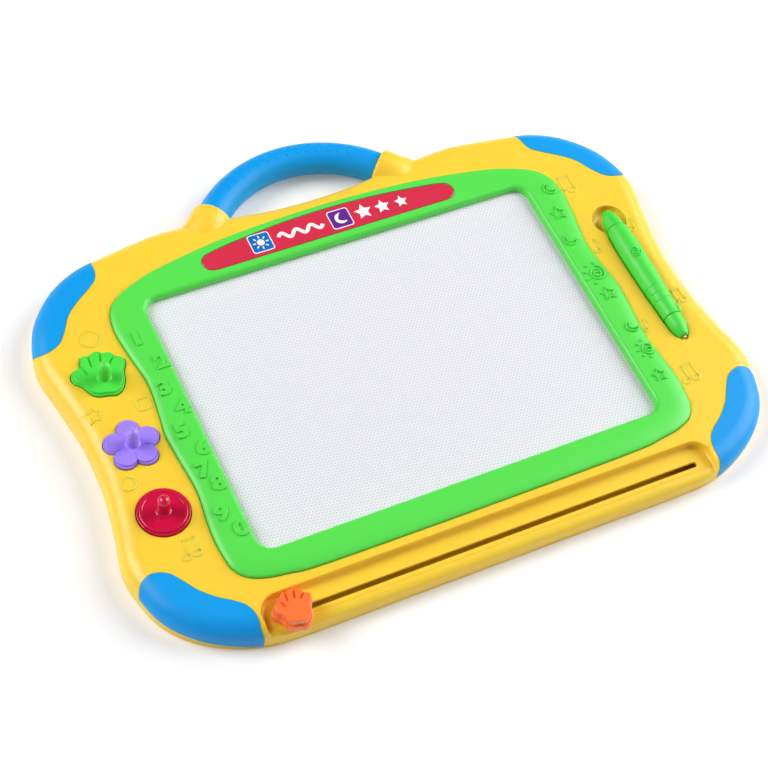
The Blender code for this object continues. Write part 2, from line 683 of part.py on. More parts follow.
    # Cover: locating rib, screw wells and rails for the eraser
    rib_out = offset(housing_outline(1), -WALL - GAP)
    rib_top = COVER_THICKNESS + COVER_RIB_HEIGHT
    rib = add("cover_rib", prism(rib_out, OVERRUN / 2, rib_top), None, frame)
    cut(rib, add("cover_rib_inside", prism(offset(rib_out, -COVER_RIB), 0, rib_top + OVERRUN), None, frame))
    for side, label in ((-1, "left"), (1, "right")):
        gate_radius = HANDLE_SPIGOT_RADIUS + GAP + COVER_RIB
        gate = arch(gate_radius, gate_radius, -handle_z)
        gate = prism(gate, -OVERRUN, SOCKET_LENGTH + OVERRUN)
        cut(rib, add("cover_rib_gate_" + label, moved(gate, socket_matrix(side)), None, frame))
    join(cover, rib)
    rail_half = slot_half - END_STOP_MARGIN
    rail_places = [share * panel_half_height for share in RAIL_SHARES] + [slot_y + SLOT_WIDTH + RAIL]
    rails = [prism(rectangle(rail_half, RAIL / 2, 0, 0, y), OVERRUN / 2, carrier_z - GAP)
             for y in rail_places]
    join(cover, add("rails", together(rails), None, frame))
    wide = SCREW_HEAD_RADIUS + GAP
    narrow = SCREW_RADIUS + GAP
    bore = [(0, -OVERRUN), (wide, -OVERRUN), (wide, well_top - WALL), (narrow, well_top - WALL),
            (narrow, well_top + OVERRUN), (0, well_top + OVERRUN)]
    pilot_top = well_top - WALL + SCREW_LENGTH
    places = housing_screw_places()
    wells = [peg(x, y, wide + BOSS_WALL, OVERRUN / 2, well_top) for x, y in places]
    join(cover, add("wells", together(wells), None, frame))
    bores = [standing(turned(bore, FASTENER_SIDES), x, y) for x, y in places]
    cut(cover, add("well_bores", together(bores), None, frame))
    pilots = [peg(x, y, narrow, well_top, pilot_top) for x, y in places]
    cut(front, add("pilots", together(pilots), None, frame))


def stamp_figures():
    """Outline, radius and place of each stamp."""
    return {
        "hand": (hand_outline, STAMP_RADIUS, HAND_STAMP_Y),
        "flower": (flower_outline, STAMP_RADIUS, FLOWER_STAMP_Y),
        "round": (round_outline, STAMP_RADIUS - ROUND_STAMP_TRIM, ROUND_STAMP_Y),
    }


def housing_screw_places():
    points = [board_point(x, y) for x, y in HOUSING_SCREW_SHARES]
    return [(side * point.x, point.y) for point in points for side in (-1, 1)]


def bezel_screw_places():
    """Places in the bands beyond the panel, half way to the bezel's edge."""
    front_y = (bezel_front - panel_half_height) / 2 - BEZEL_BOSS_RADIUS / 4
    back_y = (bezel_back + panel_half_height) / 2
    return [(share * SCREEN_HALF_WIDTH, y) for y in (front_y, back_y) for share in BEZEL_SCREW_SHARES]


def build_bezel(frame, green, red):
    outline = bezel_outline()
    foot = recess_z + GAP
    profile = [(0, foot), (0, BOARD_HEIGHT + BEZEL_RISE / 5)]
    for step in range(1, SHOULDER_STEPS - 1):
        angle = step / (SHOULDER_STEPS - 1) * math.pi / 2
        profile.append((-BEZEL_SHOULDER * (1 - math.cos(angle)),
                        BOARD_HEIGHT + BEZEL_RISE / 5 + BEZEL_RISE * 4 / 5 * math.sin(angle)))
    profile.append((-BEZEL_SHOULDER, bezel_z))
    bezel = add("screen_bezel", stepped(outline, profile), green, frame)

    # A lip reaches down on to the panel all round the screen, inside the housing's opening
    lip = rectangle(panel_half_width, panel_half_height, PANEL_CORNER)
    join(bezel, add("bezel_lip", prism(lip, film_z + GAP, foot + OVERRUN / 2), None, frame))
    screen = rectangle(SCREEN_HALF_WIDTH, SCREEN_HALF_HEIGHT, SCREEN_CORNER)
    rounding = [(0, film_z - OVERRUN), (0, bezel_z - BEZEL_LIP_RADIUS)]
    for step in range(1, CORNER_STEPS):
        angle = step / CORNER_STEPS * math.pi / 2
        rounding.append((BEZEL_LIP_RADIUS * (1 - math.cos(angle)),
                         bezel_z - BEZEL_LIP_RADIUS + BEZEL_LIP_RADIUS * math.sin(angle)))
    rounding.append((BEZEL_LIP_RADIUS + OVERRUN, bezel_z + OVERRUN))
    cut(bezel, add("screen_opening", stepped(screen, rounding), None, frame))

    label_front = SCREEN_HALF_HEIGHT + LABEL_MARGIN
    label_loop = mirrored(LABEL_SHARES, LABEL_HALF_WIDTH, label_front, LABEL_HEIGHT, CURVE_STEPS)
    label_seat = prism(offset(label_loop, GAP), bezel_z - LABEL_DEPTH, bezel_z + OVERRUN)
    cut(bezel, add("label_seat", label_seat, None, frame))
    label_low = bezel_z - LABEL_DEPTH + GAP
    add("label_plate", prism(label_loop, label_low, label_low + LABEL_THICKNESS), red, frame)

    # Screw bosses reach down through the housing's top
    boss_foot = ceiling_z + GAP
    places = bezel_screw_places()
    bosses = [peg(x, y, BEZEL_BOSS_RADIUS, boss_foot, foot + OVERRUN / 2) for x, y in places]
    join(bezel, add("bezel_bosses", together(bosses), None, frame))
    pilot_top = ceiling_z + BEZEL_SCREW_LENGTH
    pilots = [peg(x, y, SCREW_RADIUS + GAP, boss_foot - OVERRUN, pilot_top) for x, y in places]
    cut(bezel, add("bezel_pilots", together(pilots), None, frame))


def build_panel(frame, film, cells, backing):
    loop = rectangle(panel_half_width, panel_half_height, PANEL_CORNER)
    add("screen_front_film", prism(loop, film_z - FRONT_FILM, film_z), film, frame)
    add("screen_cell_core", prism(loop, core_z - CELL_CORE, core_z), cells, frame)
    add("screen_back_film", prism(loop, back_film_z - BACK_FILM, back_film_z), backing, frame)


def build_handle(frame, blue):
    """Round bar bent to an arc, with a thinner spigot at each end."""
    radius = handle_arc_radius()
    sweep = math.asin(HANDLE_SPREAD / radius)
    centre_y = handle_y + HANDLE_RISE - radius
    rings = []
    for step in range(HANDLE_STEPS + 1):
        angle = sweep - 2 * sweep * step / HANDLE_STEPS
        out = Vector((math.sin(angle), math.cos(angle), 0))
        rings.append((Vector((HANDLE_MIDDLE, centre_y, handle_z)) + radius * out, out, HANDLE_RADIUS))
    for end in (0, -1):
        middle, out, size = rings[end]
        side = 1 if end == 0 else -1
        away = Vector((out.y, -out.x, 0)) * side
        rings[end] = (middle - away * GAP, out, size)
        shoulder = (middle - away * GAP, out, HANDLE_SPIGOT_RADIUS)
        tip = (middle + away * HANDLE_SPIGOT_LENGTH, out, HANDLE_SPIGOT_RADIUS)
        rings = [tip, shoulder] + rings if end == 0 else rings + [shoulder, tip]
    shape = bmesh.new()
    rows = []
    for middle, out, size in rings:
        rows.append([shape.verts.new(middle + size * (out * p.x + Vector((0, 0, p.y))))
                     for p in circle(0, 0, 1, HANDLE_SIDES)])
    for row, following in zip(rows, rows[1:]):
        for i in range(HANDLE_SIDES):
            shape.faces.new((row[i - 1], row[i], following[i], following[i - 1]))
    shape.faces.new(rows[0][::-1])
    shape.faces.new(rows[-1])
    bmesh.ops.recalc_face_normals(shape, faces=shape.faces)
    add("carry_handle", shape, blue, frame)


def build_stamp(frame, name, post_share, finish, magnet_finish):
    """Stamp body with a stepped face and a round post, and a magnet in its foot."""
    outline, radius, y = stamp_figures()[name]
    top = BOARD_HEIGHT + STAMP_PROUD
    foot = top - STAMP_HEIGHT
    post = Vector((-stamp_x + post_share[0] * radius, y + post_share[1] * radius))
    carrier = empty(name + "_stamp_axis", post.x, post.y, foot, frame)
    body = add(name + "_stamp_body", figure(outline, radius, -stamp_x, y, (
        (0, foot), (0, top - STAMP_STEP), (-STAMP_STEP, top - STAMP_STEP),
        (-STAMP_STEP, top - STAMP_STEP / 3), (-STAMP_STEP * 4 / 3, top))), finish, carrier)
    tip = POST_HEIGHT - POST_RADIUS
    dome = []
    for step in range(DOME_STEPS):
        angle = step / DOME_STEPS * math.pi / 2
        dome.append((POST_RADIUS * math.cos(angle), tip + POST_RADIUS * math.sin(angle)))
    column = turned([(0, -OVERRUN), (POST_RADIUS, -OVERRUN)] + dome + [(0, POST_HEIGHT)], POST_SIDES)
    join(body, add(name + "_post", standing(column, post.x, post.y, top), None, frame))
    magnet_radius = radius - STAMP_MAGNET_MARGIN
    magnet_foot = foot - STAMP_MAGNET_PROUD
    magnet_top = magnet_foot + STAMP_MAGNET
    seat = prism(outline(magnet_radius + STAMP_CLEARANCE, -stamp_x, y), foot - OVERRUN, magnet_top + GAP)
    cut(body, add(name + "_magnet_seat", seat, None, frame))
    magnet = prism(outline(magnet_radius, -stamp_x, y), magnet_foot, magnet_top)
    add(name + "_stamp_magnet", magnet, magnet_finish, carrier)


def build_stamps(frame, green, purple, red, magnet):
    build_stamp(frame, "hand", HAND_POST_SHARE, green, magnet)
    build_stamp(frame, "flower", (0, 0), purple, magnet)
    build_stamp(frame, "round", (0, 0), red, magnet)


def build_pen(frame, green, steel):
    carrier = empty("pen_axis", stamp_x, PEN_TIP_Y + PEN_LENGTH / 2, pen_z, frame)
    tip_seat = PEN_NOSE_SHARES[0][1] * PEN_LENGTH
    spigot = PEN_SPIGOT_RADIUS
    joint = PEN_NOSE_SHARES[-1][1] * PEN_LENGTH
    barrel_foot = PEN_BARREL_SHARES[0][1] * PEN_LENGTH
    barrel_head = PEN_BARREL_SHARES[-1][1] * PEN_LENGTH

    # The tip is a small steel nib whose stem sits in the nose
    stem = PEN_TIP_RADIUS * 2 / 3
    stem_end = tip_seat + PEN_SPIGOT_LENGTH / 2
    tip = [(0, 0), (PEN_TIP_RADIUS * 2 / 3, PEN_TIP_RADIUS / 3), (PEN_TIP_RADIUS, PEN_TIP_RADIUS),
           (PEN_TIP_RADIUS, tip_seat - GAP), (stem, tip_seat - GAP), (stem, stem_end), (0, stem_end)]
    add("pen_magnet_tip", along_pen(turned(tip, FASTENER_SIDES)), steel, carrier)
    bore_end = stem_end + GAP
    spigot_end = joint + PEN_SPIGOT_LENGTH
    nose = [(0, bore_end), (stem + GAP, bore_end), (stem + GAP, tip_seat)] + pen_profile(PEN_NOSE_SHARES)
    nose += [(spigot, joint), (spigot, spigot_end), (0, spigot_end)]
    add("pen_nose", along_pen(turned(nose, PEN_SIDES)), green, carrier)

    rings = []
    for share in PEN_RING_SHARES:
        at = share * PEN_LENGTH
        radius = pen_radius_at(share)
        half = PEN_RING_WIDTH / 2
        rings += [(radius, at - half), (radius - PEN_RING_DEPTH, at), (radius, at + half)]
    outside = sorted(pen_profile(PEN_BARREL_SHARES) + rings, key=lambda point: point[1])
    socket_end = barrel_foot + PEN_SPIGOT_LENGTH
    stub_end = barrel_head + PEN_SPIGOT_LENGTH * 2 / 3
    barrel = [(0, socket_end), (spigot + GAP, socket_end), (spigot + GAP, barrel_foot)] + outside
    barrel += [(spigot, barrel_head), (spigot, stub_end), (0, stub_end)]
    body = add("pen_barrel", along_pen(turned(barrel, PEN_SIDES)), green, carrier)

    # A small round lug stands on the barrel's outer side
    half_lug = PEN_LUG_RADIUS / 2
    lug = turned([(0, -PEN_RING_DEPTH), (PEN_LUG_RADIUS, -PEN_RING_DEPTH), (PEN_LUG_RADIUS, half_lug),
                  (half_lug, PEN_LUG_RADIUS), (0, PEN_LUG_RADIUS)], FASTENER_SIDES)
    lug_place = (Matrix.Translation((stamp_x, PEN_TIP_Y + PEN_LUG_SHARE * PEN_LENGTH, pen_z))
                 @ Matrix.Rotation(PEN_LUG_TURN, 4, "Y")
                 @ Matrix.Translation((0, 0, pen_radius_at(PEN_LUG_SHARE))))
    join(body, add("pen_lug", moved(lug, lug_place), None, frame))

    cap_foot = PEN_CAP_SHARES[0][1] * PEN_LENGTH
    cap_bore = stub_end + GAP
    cap = [(0, cap_bore), (spigot + GAP, cap_bore), (spigot + GAP, cap_foot)] + pen_profile(PEN_CAP_SHARES)
    add("pen_end_cap", along_pen(turned(cap + [(0, PEN_LENGTH)], PEN_SIDES)), green, carrier)


def build_eraser(frame, orange, grey, magnet):
    knob_x = -(slot_half - NECK_HALF_LENGTH - END_STOP_MARGIN)
    carrier = empty("eraser_slide_axis", knob_x, slot_y, ledge_z, frame)
    foot = ledge_z + GAP
    top = foot + KNOB_HEIGHT
    base = foot + KNOB_BASE_HEIGHT
    knob = add("eraser_knob", figure(hand_outline, KNOB_RADIUS, knob_x, knob_y, (
        (0, foot), (0, base), (-KNOB_STEP, base), (-KNOB_STEP, top - KNOB_STEP / 2),
        (-KNOB_STEP * 3 / 2, top))), orange, carrier)

    # Two snap prongs pass through the slot and hook under the carrier
    stand_up = Matrix(((1, 0, 0, 0), (0, 0, -1, 0), (0, 1, 0, 0), (0, 0, 0, 1)))
    hook_z = carrier_z - GAP
    half_width = SLOT_WIDTH / 2 - GAP
    for side, label in ((-1, "left"), (1, "right")):
        tall = [(NECK_HALF_LENGTH - PRONG, foot + OVERRUN), (NECK_HALF_LENGTH - PRONG, hook_z - BARB_HEIGHT),
                (NECK_HALF_LENGTH, hook_z - BARB_HEIGHT), (NECK_HALF_LENGTH + BARB, hook_z),
                (NECK_HALF_LENGTH, hook_z), (NECK_HALF_LENGTH, foot + OVERRUN)]
        loop = anticlockwise([Vector((knob_x + side * x, z)) for x, z in tall])
        prong = moved(prism(loop, -slot_y - half_width, -slot_y + half_width), stand_up)
        join(knob, add("prong_" + label, prong, None, frame))

    # The carrier crosses under the whole panel and lifts the magnet to its back film
    low_y = slot_y - SLOT_WIDTH - CARRIER_END_MARGIN / 2
    high_y = panel_half_height - PANEL_SEAT
    arm = rectangle(CARRIER_WIDTH / 2, (high_y - low_y) / 2, 0, knob_x, (high_y + low_y) / 2)
    beam = add("eraser_carrier", prism(arm, carrier_z, arm_z), grey, carrier)
    foot_pad = rectangle(NECK_HALF_LENGTH + BARB + WALL, SLOT_WIDTH + WALL, 0, knob_x, slot_y)
    join(beam, add("carrier_pad", prism(foot_pad, carrier_z + GAP, arm_z + GAP), None, frame))
    magnet_half = panel_half_height - PANEL_SEAT - ERASER_MAGNET_MARGIN
    spine = rectangle(CARRIER_WIDTH / 2 - GAP, magnet_half, 0, knob_x, 0)
    join(beam, add("carrier_spine", prism(spine, arm_z - OVERRUN / 3, eraser_magnet_z - GAP), None, frame))
    window = rectangle(NECK_HALF_LENGTH + GAP, SLOT_WIDTH / 2, 0, knob_x, slot_y)
    cut(beam, add("carrier_window", prism(window, carrier_z - OVERRUN, arm_z + OVERRUN), None, frame))
    strip = rectangle(ERASER_MAGNET_WIDTH / 2, magnet_half - GAP, 0, knob_x, 0)
    add("eraser_magnet", prism(strip, eraser_magnet_z, seat_z), magnet, carrier)


def screw(seat, head_radius, head_height, length):
    """Screw with its point up, whose head's upper side is at the seat."""
    return turned([(0, seat - head_height), (head_radius, seat - head_height), (head_radius, seat),
                   (SCREW_RADIUS, seat), (SCREW_RADIUS, seat + length - SCREW_RADIUS),
                   (0, seat + length)], FASTENER_SIDES)


def build_screws(frame, steel):
    seat = COVER_THICKNESS + WELL_HEIGHT - WALL - GAP
    for number, (x, y) in enumerate(housing_screw_places()):
        shape = screw(seat, SCREW_HEAD_RADIUS, SCREW_HEAD_HEIGHT, SCREW_LENGTH)
        add(f"housing_screw_{number + 1}", standing(shape, x, y), steel, frame)
    seat = ceiling_z - GAP
    for number, (x, y) in enumerate(bezel_screw_places()):
        shape = screw(seat, BEZEL_SCREW_HEAD_RADIUS, BEZEL_SCREW_HEAD_HEIGHT, BEZEL_SCREW_LENGTH)
        add(f"bezel_screw_{number + 1}", standing(shape, x, y), steel, frame)


def main():
    for old in list(bpy.data.objects):
        bpy.data.objects.remove(old)
    yellow = material("housing_yellow", 1, 0.68, 0.04, 0.38)
    green = material("bezel_green", 0.11, 0.82, 0.08, 0.35)
    blue = material("grip_blue", 0, 0.35, 1, 0.4)
    red = material("stamp_red", 0.58, 0.01, 0.04, 0.25)
    label_red = material("label_red", 0.76, 0.04, 0.08, 0.3)
    purple = material("stamp_purple", 0.37, 0.25, 0.93, 0.35)
    orange = material("knob_orange", 1, 0.19, 0.04, 0.35)
    grey = material("carrier_grey", 0.45, 0.45, 0.45, 0.5)
    film = material("front_film", 0.8, 0.8, 0.83, 0.3)
    cells = material("cell_core", 0.75, 0.75, 0.76, 0.6)
    backing = material("back_film", 0.6, 0.6, 0.62, 0.4)
    magnet = material("magnet_black", 0.03, 0.03, 0.03, 0.6)
    steel = material("zinc_steel", 0.6, 0.6, 0.62, 0.3, 1)
    frame = empty("board_frame", 0, screen_y, 0)
    build_housing(frame, yellow, blue)
    build_bezel(frame, green, label_red)
    build_panel(frame, film, cells, backing)
    build_handle(frame, blue)
    build_stamps(frame, green, purple, red, magnet)
    build_pen(frame, green, steel)
    build_eraser(frame, orange, grey, magnet)
    build_screws(frame, steel)


main()
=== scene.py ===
from math import asin, atan2, cos, pi, radians, sin, sqrt

import bmesh
import bpy
from mathutils import Matrix, Vector


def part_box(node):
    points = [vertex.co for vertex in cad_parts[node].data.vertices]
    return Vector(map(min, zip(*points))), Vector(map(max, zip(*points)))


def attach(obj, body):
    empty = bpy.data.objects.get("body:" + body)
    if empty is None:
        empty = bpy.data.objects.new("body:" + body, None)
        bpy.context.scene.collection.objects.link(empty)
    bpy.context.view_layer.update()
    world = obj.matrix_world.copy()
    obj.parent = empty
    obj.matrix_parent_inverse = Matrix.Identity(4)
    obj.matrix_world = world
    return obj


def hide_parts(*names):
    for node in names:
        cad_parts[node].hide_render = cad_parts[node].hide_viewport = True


# Looks of a magnetic drawing board for children, built round its solid model.
# Lengths are in metres. Shapes are drawn on a plan whose origin is the middle of the screen.
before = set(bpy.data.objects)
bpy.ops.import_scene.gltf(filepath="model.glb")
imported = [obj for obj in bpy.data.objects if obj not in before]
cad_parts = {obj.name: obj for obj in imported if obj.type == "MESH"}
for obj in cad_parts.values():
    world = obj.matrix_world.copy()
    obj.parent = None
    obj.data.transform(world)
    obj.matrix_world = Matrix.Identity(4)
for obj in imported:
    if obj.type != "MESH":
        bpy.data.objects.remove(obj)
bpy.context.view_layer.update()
mm = 0.001


def lengths(**sizes):  # given in millimetres
    return {name: size * mm for name, size in sizes.items()}


filmLow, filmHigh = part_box("screen_front_film")
screenY = (filmLow.y + filmHigh.y) / 2
screenTop = filmHigh.z

board = lengths(
    halfWidth=204.5, front=-139.8, back=142.7, aboveScreen=2, shoulderWidth=12, shoulderRise=10,
    partingTop=2.8, lowEdge=0.4, wall=2.2, gap=0.3, past=3) | {"outlineSteps": 6, "shoulderSteps": 10}
boardTop = screenTop + board["aboveScreen"]
boardDepth = board["back"] - board["front"]
gap = board["gap"]
past = board["past"]  # how far a cutter runs beyond what it cuts


# Materials

def linearColour(hexColour):
    channels = [int(hexColour[i:i + 2], 16) / 255 for i in (1, 3, 5)]
    return [c / 12.92 if c <= 0.04045 else ((c + 0.055) / 1.055) ** 2.4 for c in channels] + [1]


# Links a socket to another node's output, or sets its value, where a text is a hex colour
def fill(tree, node, inputs):
    for socket, value in inputs.items():
        if isinstance(value, bpy.types.NodeSocket):
            tree.links.new(value, node.inputs[socket])
        else:
            node.inputs[socket].default_value = linearColour(value) if isinstance(value, str) else value


def addNode(tree, kind, inputs, out=0, **settings):
    node = tree.nodes.new("ShaderNode" + kind)
    for name, value in settings.items():
        setattr(node, name, value)
    fill(tree, node, inputs)
    return node.outputs[out]


def startMaterial(name, look):
    material = bpy.data.materials.new(name)
    material.use_nodes = True
    tree = material.node_tree
    shader = tree.nodes["Principled BSDF"]
    fill(tree, shader, {"IOR": look.get("ior", 1.5), "Metallic": look.get("metallic", 0),
                        "Specular IOR Level": look.get("specular", 0.5)})
    if "depth" in look:
        fill(tree, shader, {"Subsurface Weight": look["depth"], "Subsurface Radius": look["depthReach"],
                            "Subsurface Scale": mm})
    return material, tree, shader, addNode(tree, "TexCoord", {}, "Object")


# Share by which the roughness wanders, and how much finer its patches are than the clouds of colour
gloss = {"spread": 0.15, "finer": 3}


# A surface with uneven tone, uneven gloss and a fine grain, each at its own size
def addMaterial(name, look):
    material, tree, shader, place = startMaterial(name, look)
    scales = (1 / look["cloud"], gloss["finer"] / look["cloud"], 1 / look["grain"])
    clouds, patches, grain = (
        addNode(tree, "TexNoise", {"Scale": scale, "Detail": detail, "Vector": place}, "Fac")
        for scale, detail in zip(scales, (3, 4, 2)))
    lowest, highest = (look["roughness"] * (1 + side * gloss["spread"]) for side in (-1, 1))
    fill(tree, shader, {
        "Base Color": addNode(tree, "Mix", {0: clouds, 6: look["colour"], 7: look["shade"]}, 2,
                              data_type="RGBA"),
        "Roughness": addNode(tree, "MapRange", {"To Min": lowest, "To Max": highest, "Value": patches}),
        "Normal": addNode(tree, "Bump", {"Distance": look["grainDepth"], "Height": grain})})
    return material


# The last three are the widths of the clouds and of the grain, and the grain's depth, in millimetres
def finish(ior, roughness, cloud, grain, grainDepth):
    return dict(lengths(cloud=cloud, grain=grain, grainDepth=grainDepth), ior=ior, roughness=roughness)


polypropylene = finish(1.49, 0.36, 60, 0.9, 0.012)
polystyrene = finish(1.59, 0.2, 25, 1.4, 0.006)
screenInk = finish(1.5, 0.3, 8, 0.6, 0.004)
# Material, finish, even colour, clouded colour and other values, for each slot and each other use
looks = {
    # Polypropylene from a lightly spark-eroded mould: soft broad highlights, a waxy depth and a grain
    # that only breaks up the edge of a reflection. The grain is 0.25 mm, drawn at 0.9 mm to show.
    "housing_yellow": ("yellowMouldedPolypropylene", polypropylene, "#FFD240", "#FFCE3A",
                       {"depth": 0.6, "depthReach": (3, 1.3, 0.3)}),
    "bezel_green": ("greenMouldedPolypropylene", polypropylene, "#58DF50", "#52DB4A", {}),
    "grip_blue": ("blueMouldedPolypropylene", polypropylene, "#009EEA", "#0097E4",
                  {"roughness": 0.46, "specular": 0.32, "depth": 0.3, "depthReach": (0.2, 1, 2)}),
    # Polystyrene: clear, deep colour. The red one's mould was polished, which gives tight bright
    # highlights, and the others' was lightly matted, which softens them.
    "stamp_green": ("greenMouldedPolystyrene", polystyrene, "#48DD44", "#42D93E",
                    {"roughness": 0.48, "depth": 0.4, "depthReach": (0.6, 3, 0.4)}),
    "stamp_purple": ("purpleMouldedPolystyrene", polystyrene, "#A688FA", "#A082F7",
                     {"roughness": 0.38, "depth": 0.4, "depthReach": (2, 1, 3)}),
    "stamp_red": ("redMouldedPolystyrene", polystyrene, "#D01244", "#C80E3E",
                  {"roughness": 0.16, "depth": 0.3, "depthReach": (3, 0.3, 0.5)}),
    # ABS from a polished mould: even colour with a clean soft gloss
    "knob_orange": ("orangeMouldedAbs", finish(1.54, 0.28, 20, 1.1, 0.008), "#FF7A3C", "#FF7436", {}),
    # Screen-printed polycarbonate plate: flat saturated red under a clear glossy face
    "label_red": ("redPrintedPolycarbonate", finish(1.58, 0.2, 40, 2.5, 0.006), "#D6334D", "#D22E49", {}),
    # Screen ink: a thin even coat, a little glossier than the moulded parts
    "whiteInk": ("whiteScreenInk", screenInk, "#F6F1F2", "#EEE7E9", {}),
    "blueInk": ("blueScreenInk", screenInk, "#1273C4", "#0B66B4", {}),
    "purpleInk": ("purpleScreenInk", screenInk, "#6A2C95", "#5F2489", {}),
    # Unfilled acetal: matt, slightly waxy grey
    "acetal": ("greyMouldedAcetal", finish(1.48, 0.5, 30, 0.8, 0.015), "#B9BAB8", "#B0B1AF", {}),
    # Rubber-bonded ferrite strip: near black, dull, with a coarse calendered grain
    "magnet_black": ("blackBondedFerrite", finish(1.52, 0.68, 10, 0.7, 0.04), "#2B2A2C", "#232224", {}),
    # Back sheet of the screen: smooth pale PVC, never seen from outside
    "backFilm": ("paleRolledPvc", finish(1.53, 0.45, 50, 2, 0.01), "#DADADD", "#D4D4D8", {}),
    # Zinc-plated steel: pale grey with a faint blue cast and a soft, cloudy reflection
    "screw_steel": ("zincPlatedSteel", finish(1.5, 0.32, 4, 0.5, 0.01), "#C9CCD1", "#B4B8BF",
                    {"metallic": 1}),
    # Turned steel nib: bright and clean
    "nib_steel": ("turnedSteelNib", finish(1.5, 0.4, 3, 0.4, 0.004), "#D2C9C2", "#C8BFB8",
                  {"metallic": 1}),
}
materials = {use: addMaterial(name, dict(base, colour=colour, shade=shade) | more)
             for use, (name, base, colour, shade, more) in looks.items()}

# Clear drawing film over honeycomb cells of white fluid: pale grey cells with whiter cell walls,
# which show through as faint slanting rows
honeycomb = dict(lengths(cell=2.2, wallDepth=0.05, patch=6), ior=1.53, roughness=0.42, wallShare=0.22,
                 turn=radians(9), faint=0.55, strong=1.15, cellColour="#D4D4DB", wallColour="#F3F3F6")


def honeycombFilm():
    look = honeycomb
    material, tree, shader, place = startMaterial("honeycombDrawingFilm", look)
    cells = addNode(tree, "Mapping", {
        "Rotation": (0, 0, look["turn"]), "Scale": (1 / look["cell"],) * 3, "Vector": place})
    flat = addNode(tree, "VectorMath", {0: cells, 1: (1, 1, 0)}, operation="MULTIPLY")
    # How far each point is from the middle of its cell, in two rows of cells that lie half a cell apart
    half = (0.5, sqrt(3) / 2, 0)
    low = [-0.5, -sqrt(3) / 2, -1]
    reaches = []
    for shift in ((0, 0, 0), half):
        point = flat
        for operation, *values in (("ADD", shift), ("WRAP", half, low), ("ABSOLUTE",)):
            point = addNode(tree, "VectorMath", dict(enumerate([point, *values])), operation=operation)
        across = addNode(tree, "SeparateXYZ", {0: point}, "X")
        slope = addNode(tree, "VectorMath", {0: point, 1: half}, "Value", operation="DOT_PRODUCT")
        reaches.append(addNode(tree, "Math", {0: across, 1: slope}, operation="MAXIMUM"))
    nearest = addNode(tree, "Math", dict(enumerate(reaches)), operation="MINIMUM")
    inputs = {"From Min": 0.5 - look["wallShare"], "From Max": 0.5, "Value": nearest}
    wall = addNode(tree, "MapRange", inputs, interpolation_type="SMOOTHSTEP")
    patch = addNode(tree, "TexNoise", {"Scale": 1 / look["patch"], "Detail": 2, "Vector": place}, "Fac")
    uneven = addNode(tree, "MapRange", {"To Min": look["faint"], "To Max": look["strong"], "Value": patch})
    strength = addNode(tree, "Math", {0: wall, 1: uneven}, operation="MULTIPLY", use_clamp=True)
    fill(tree, shader, {
        "Roughness": look["roughness"],
        "Base Color": addNode(tree, "Mix", {0: strength, 6: look["cellColour"], 7: look["wallColour"]}, 2,
                              data_type="RGBA"),
        "Normal": addNode(tree, "Bump", {"Distance": look["wallDepth"], "Height": wall})})
    return material


def coat(material, *nodes):
    for node in nodes:
        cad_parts[node].material_slots[0].material = material


print("materials ready")


# Outlines and bodies

def smoothPoint(a, b, c, d, t):
    bend = (2 * a - 5 * b + 4 * c - d) * t**2 + (3 * b - a - 3 * c + d) * t**3
    return b + ((c - a) * t + bend) / 2


def smoothLoop(points, steps):
    count = len(points)
    return [smoothPoint(*(points[(i + k) % count] for k in (-1, 0, 1, 2)), step / steps)
            for i in range(count) for step in range(steps)]


def smoothProfile(points, steps=5):
    ends = [Vector(point) for point in (points[0], *points, points[-1])]
    fine = [tuple(smoothPoint(*ends[i - 1:i + 3], step / steps))
            for i in range(1, len(points)) for step in range(steps)]
    return fine + [tuple(points[-1])]


# A whole outline from the shares of its right half
def mirroredLoop(shares, halfWidth, front, depth, steps):
    half = [Vector((x * halfWidth, front + y * depth)) for x, y in shares]
    return smoothLoop(half + [Vector((-p.x, p.y)) for p in half[-2:0:-1]], steps)


def anticlockwise(loop):
    area = sum(a.x * b.y - b.x * a.y for a, b in zip(loop, loop[1:] + loop[:1]))
    return loop if area > 0 else loop[::-1]


def grown(loop, distance):
    larger = []
    for i, point in enumerate(loop):
        before = (point - loop[i - 1]).normalized()
        after = (loop[(i + 1) % len(loop)] - point).normalized()
        outBefore = Vector((before.y, -before.x))
        outAfter = Vector((after.y, -after.x))
        spread = max(1 + outBefore.dot(outAfter), 0.7)  # keeps sharp corners short
        larger.append(point + (outBefore + outAfter) * distance / spread)
    return larger


def direction(angle):
    return Vector((cos(angle), sin(angle)))


def roundPoint(x, y, radius, angle):
    return Vector((x + radius * cos(angle), y + radius * sin(angle)))


def roundLoop(x, y, radius, sides=48):
    return [roundPoint(x, y, radius, 2 * pi * i / sides) for i in range(sides)]


def boxLoop(halfWidth, halfHeight, radius, x=0, y=0, steps=8):
    loop = []
    for turn, (i, j) in enumerate(((1, 1), (-1, 1), (-1, -1), (1, -1))):
        centre = Vector((x + i * (halfWidth - radius), y + j * (halfHeight - radius)))
        loop += [centre + radius * direction((turn + step / steps) * pi / 2)
                 for step in range(steps + 1)]
    return loop


# A skin over rows of points, where a row may be a single point
def skinned(rows, ends=True, closed=False):
    shape = bmesh.new()
    rows = [[shape.verts.new(point) for point in row] for row in rows]
    for low, high in zip(rows, rows[1:] + (rows[:1] if closed else [])):
        count = max(len(low), len(high))
        low, high = (row * count if len(row) == 1 else row for row in (low, high))
        for i in range(count):
            corners = dict.fromkeys((low[i - 1], low[i], high[i], high[i - 1]))
            shape.faces.new(tuple(corners))
    if ends:
        shape.faces.new(rows[0][::-1])
        shape.faces.new(rows[-1])
    return shape


def loft(rings):
    rows = []
    for loop, height in rings:
        heights = height if isinstance(height, list) else [height] * len(loop)
        rows.append([(p.x, p.y, z) for p, z in zip(loop, heights)])
    return skinned(rows)


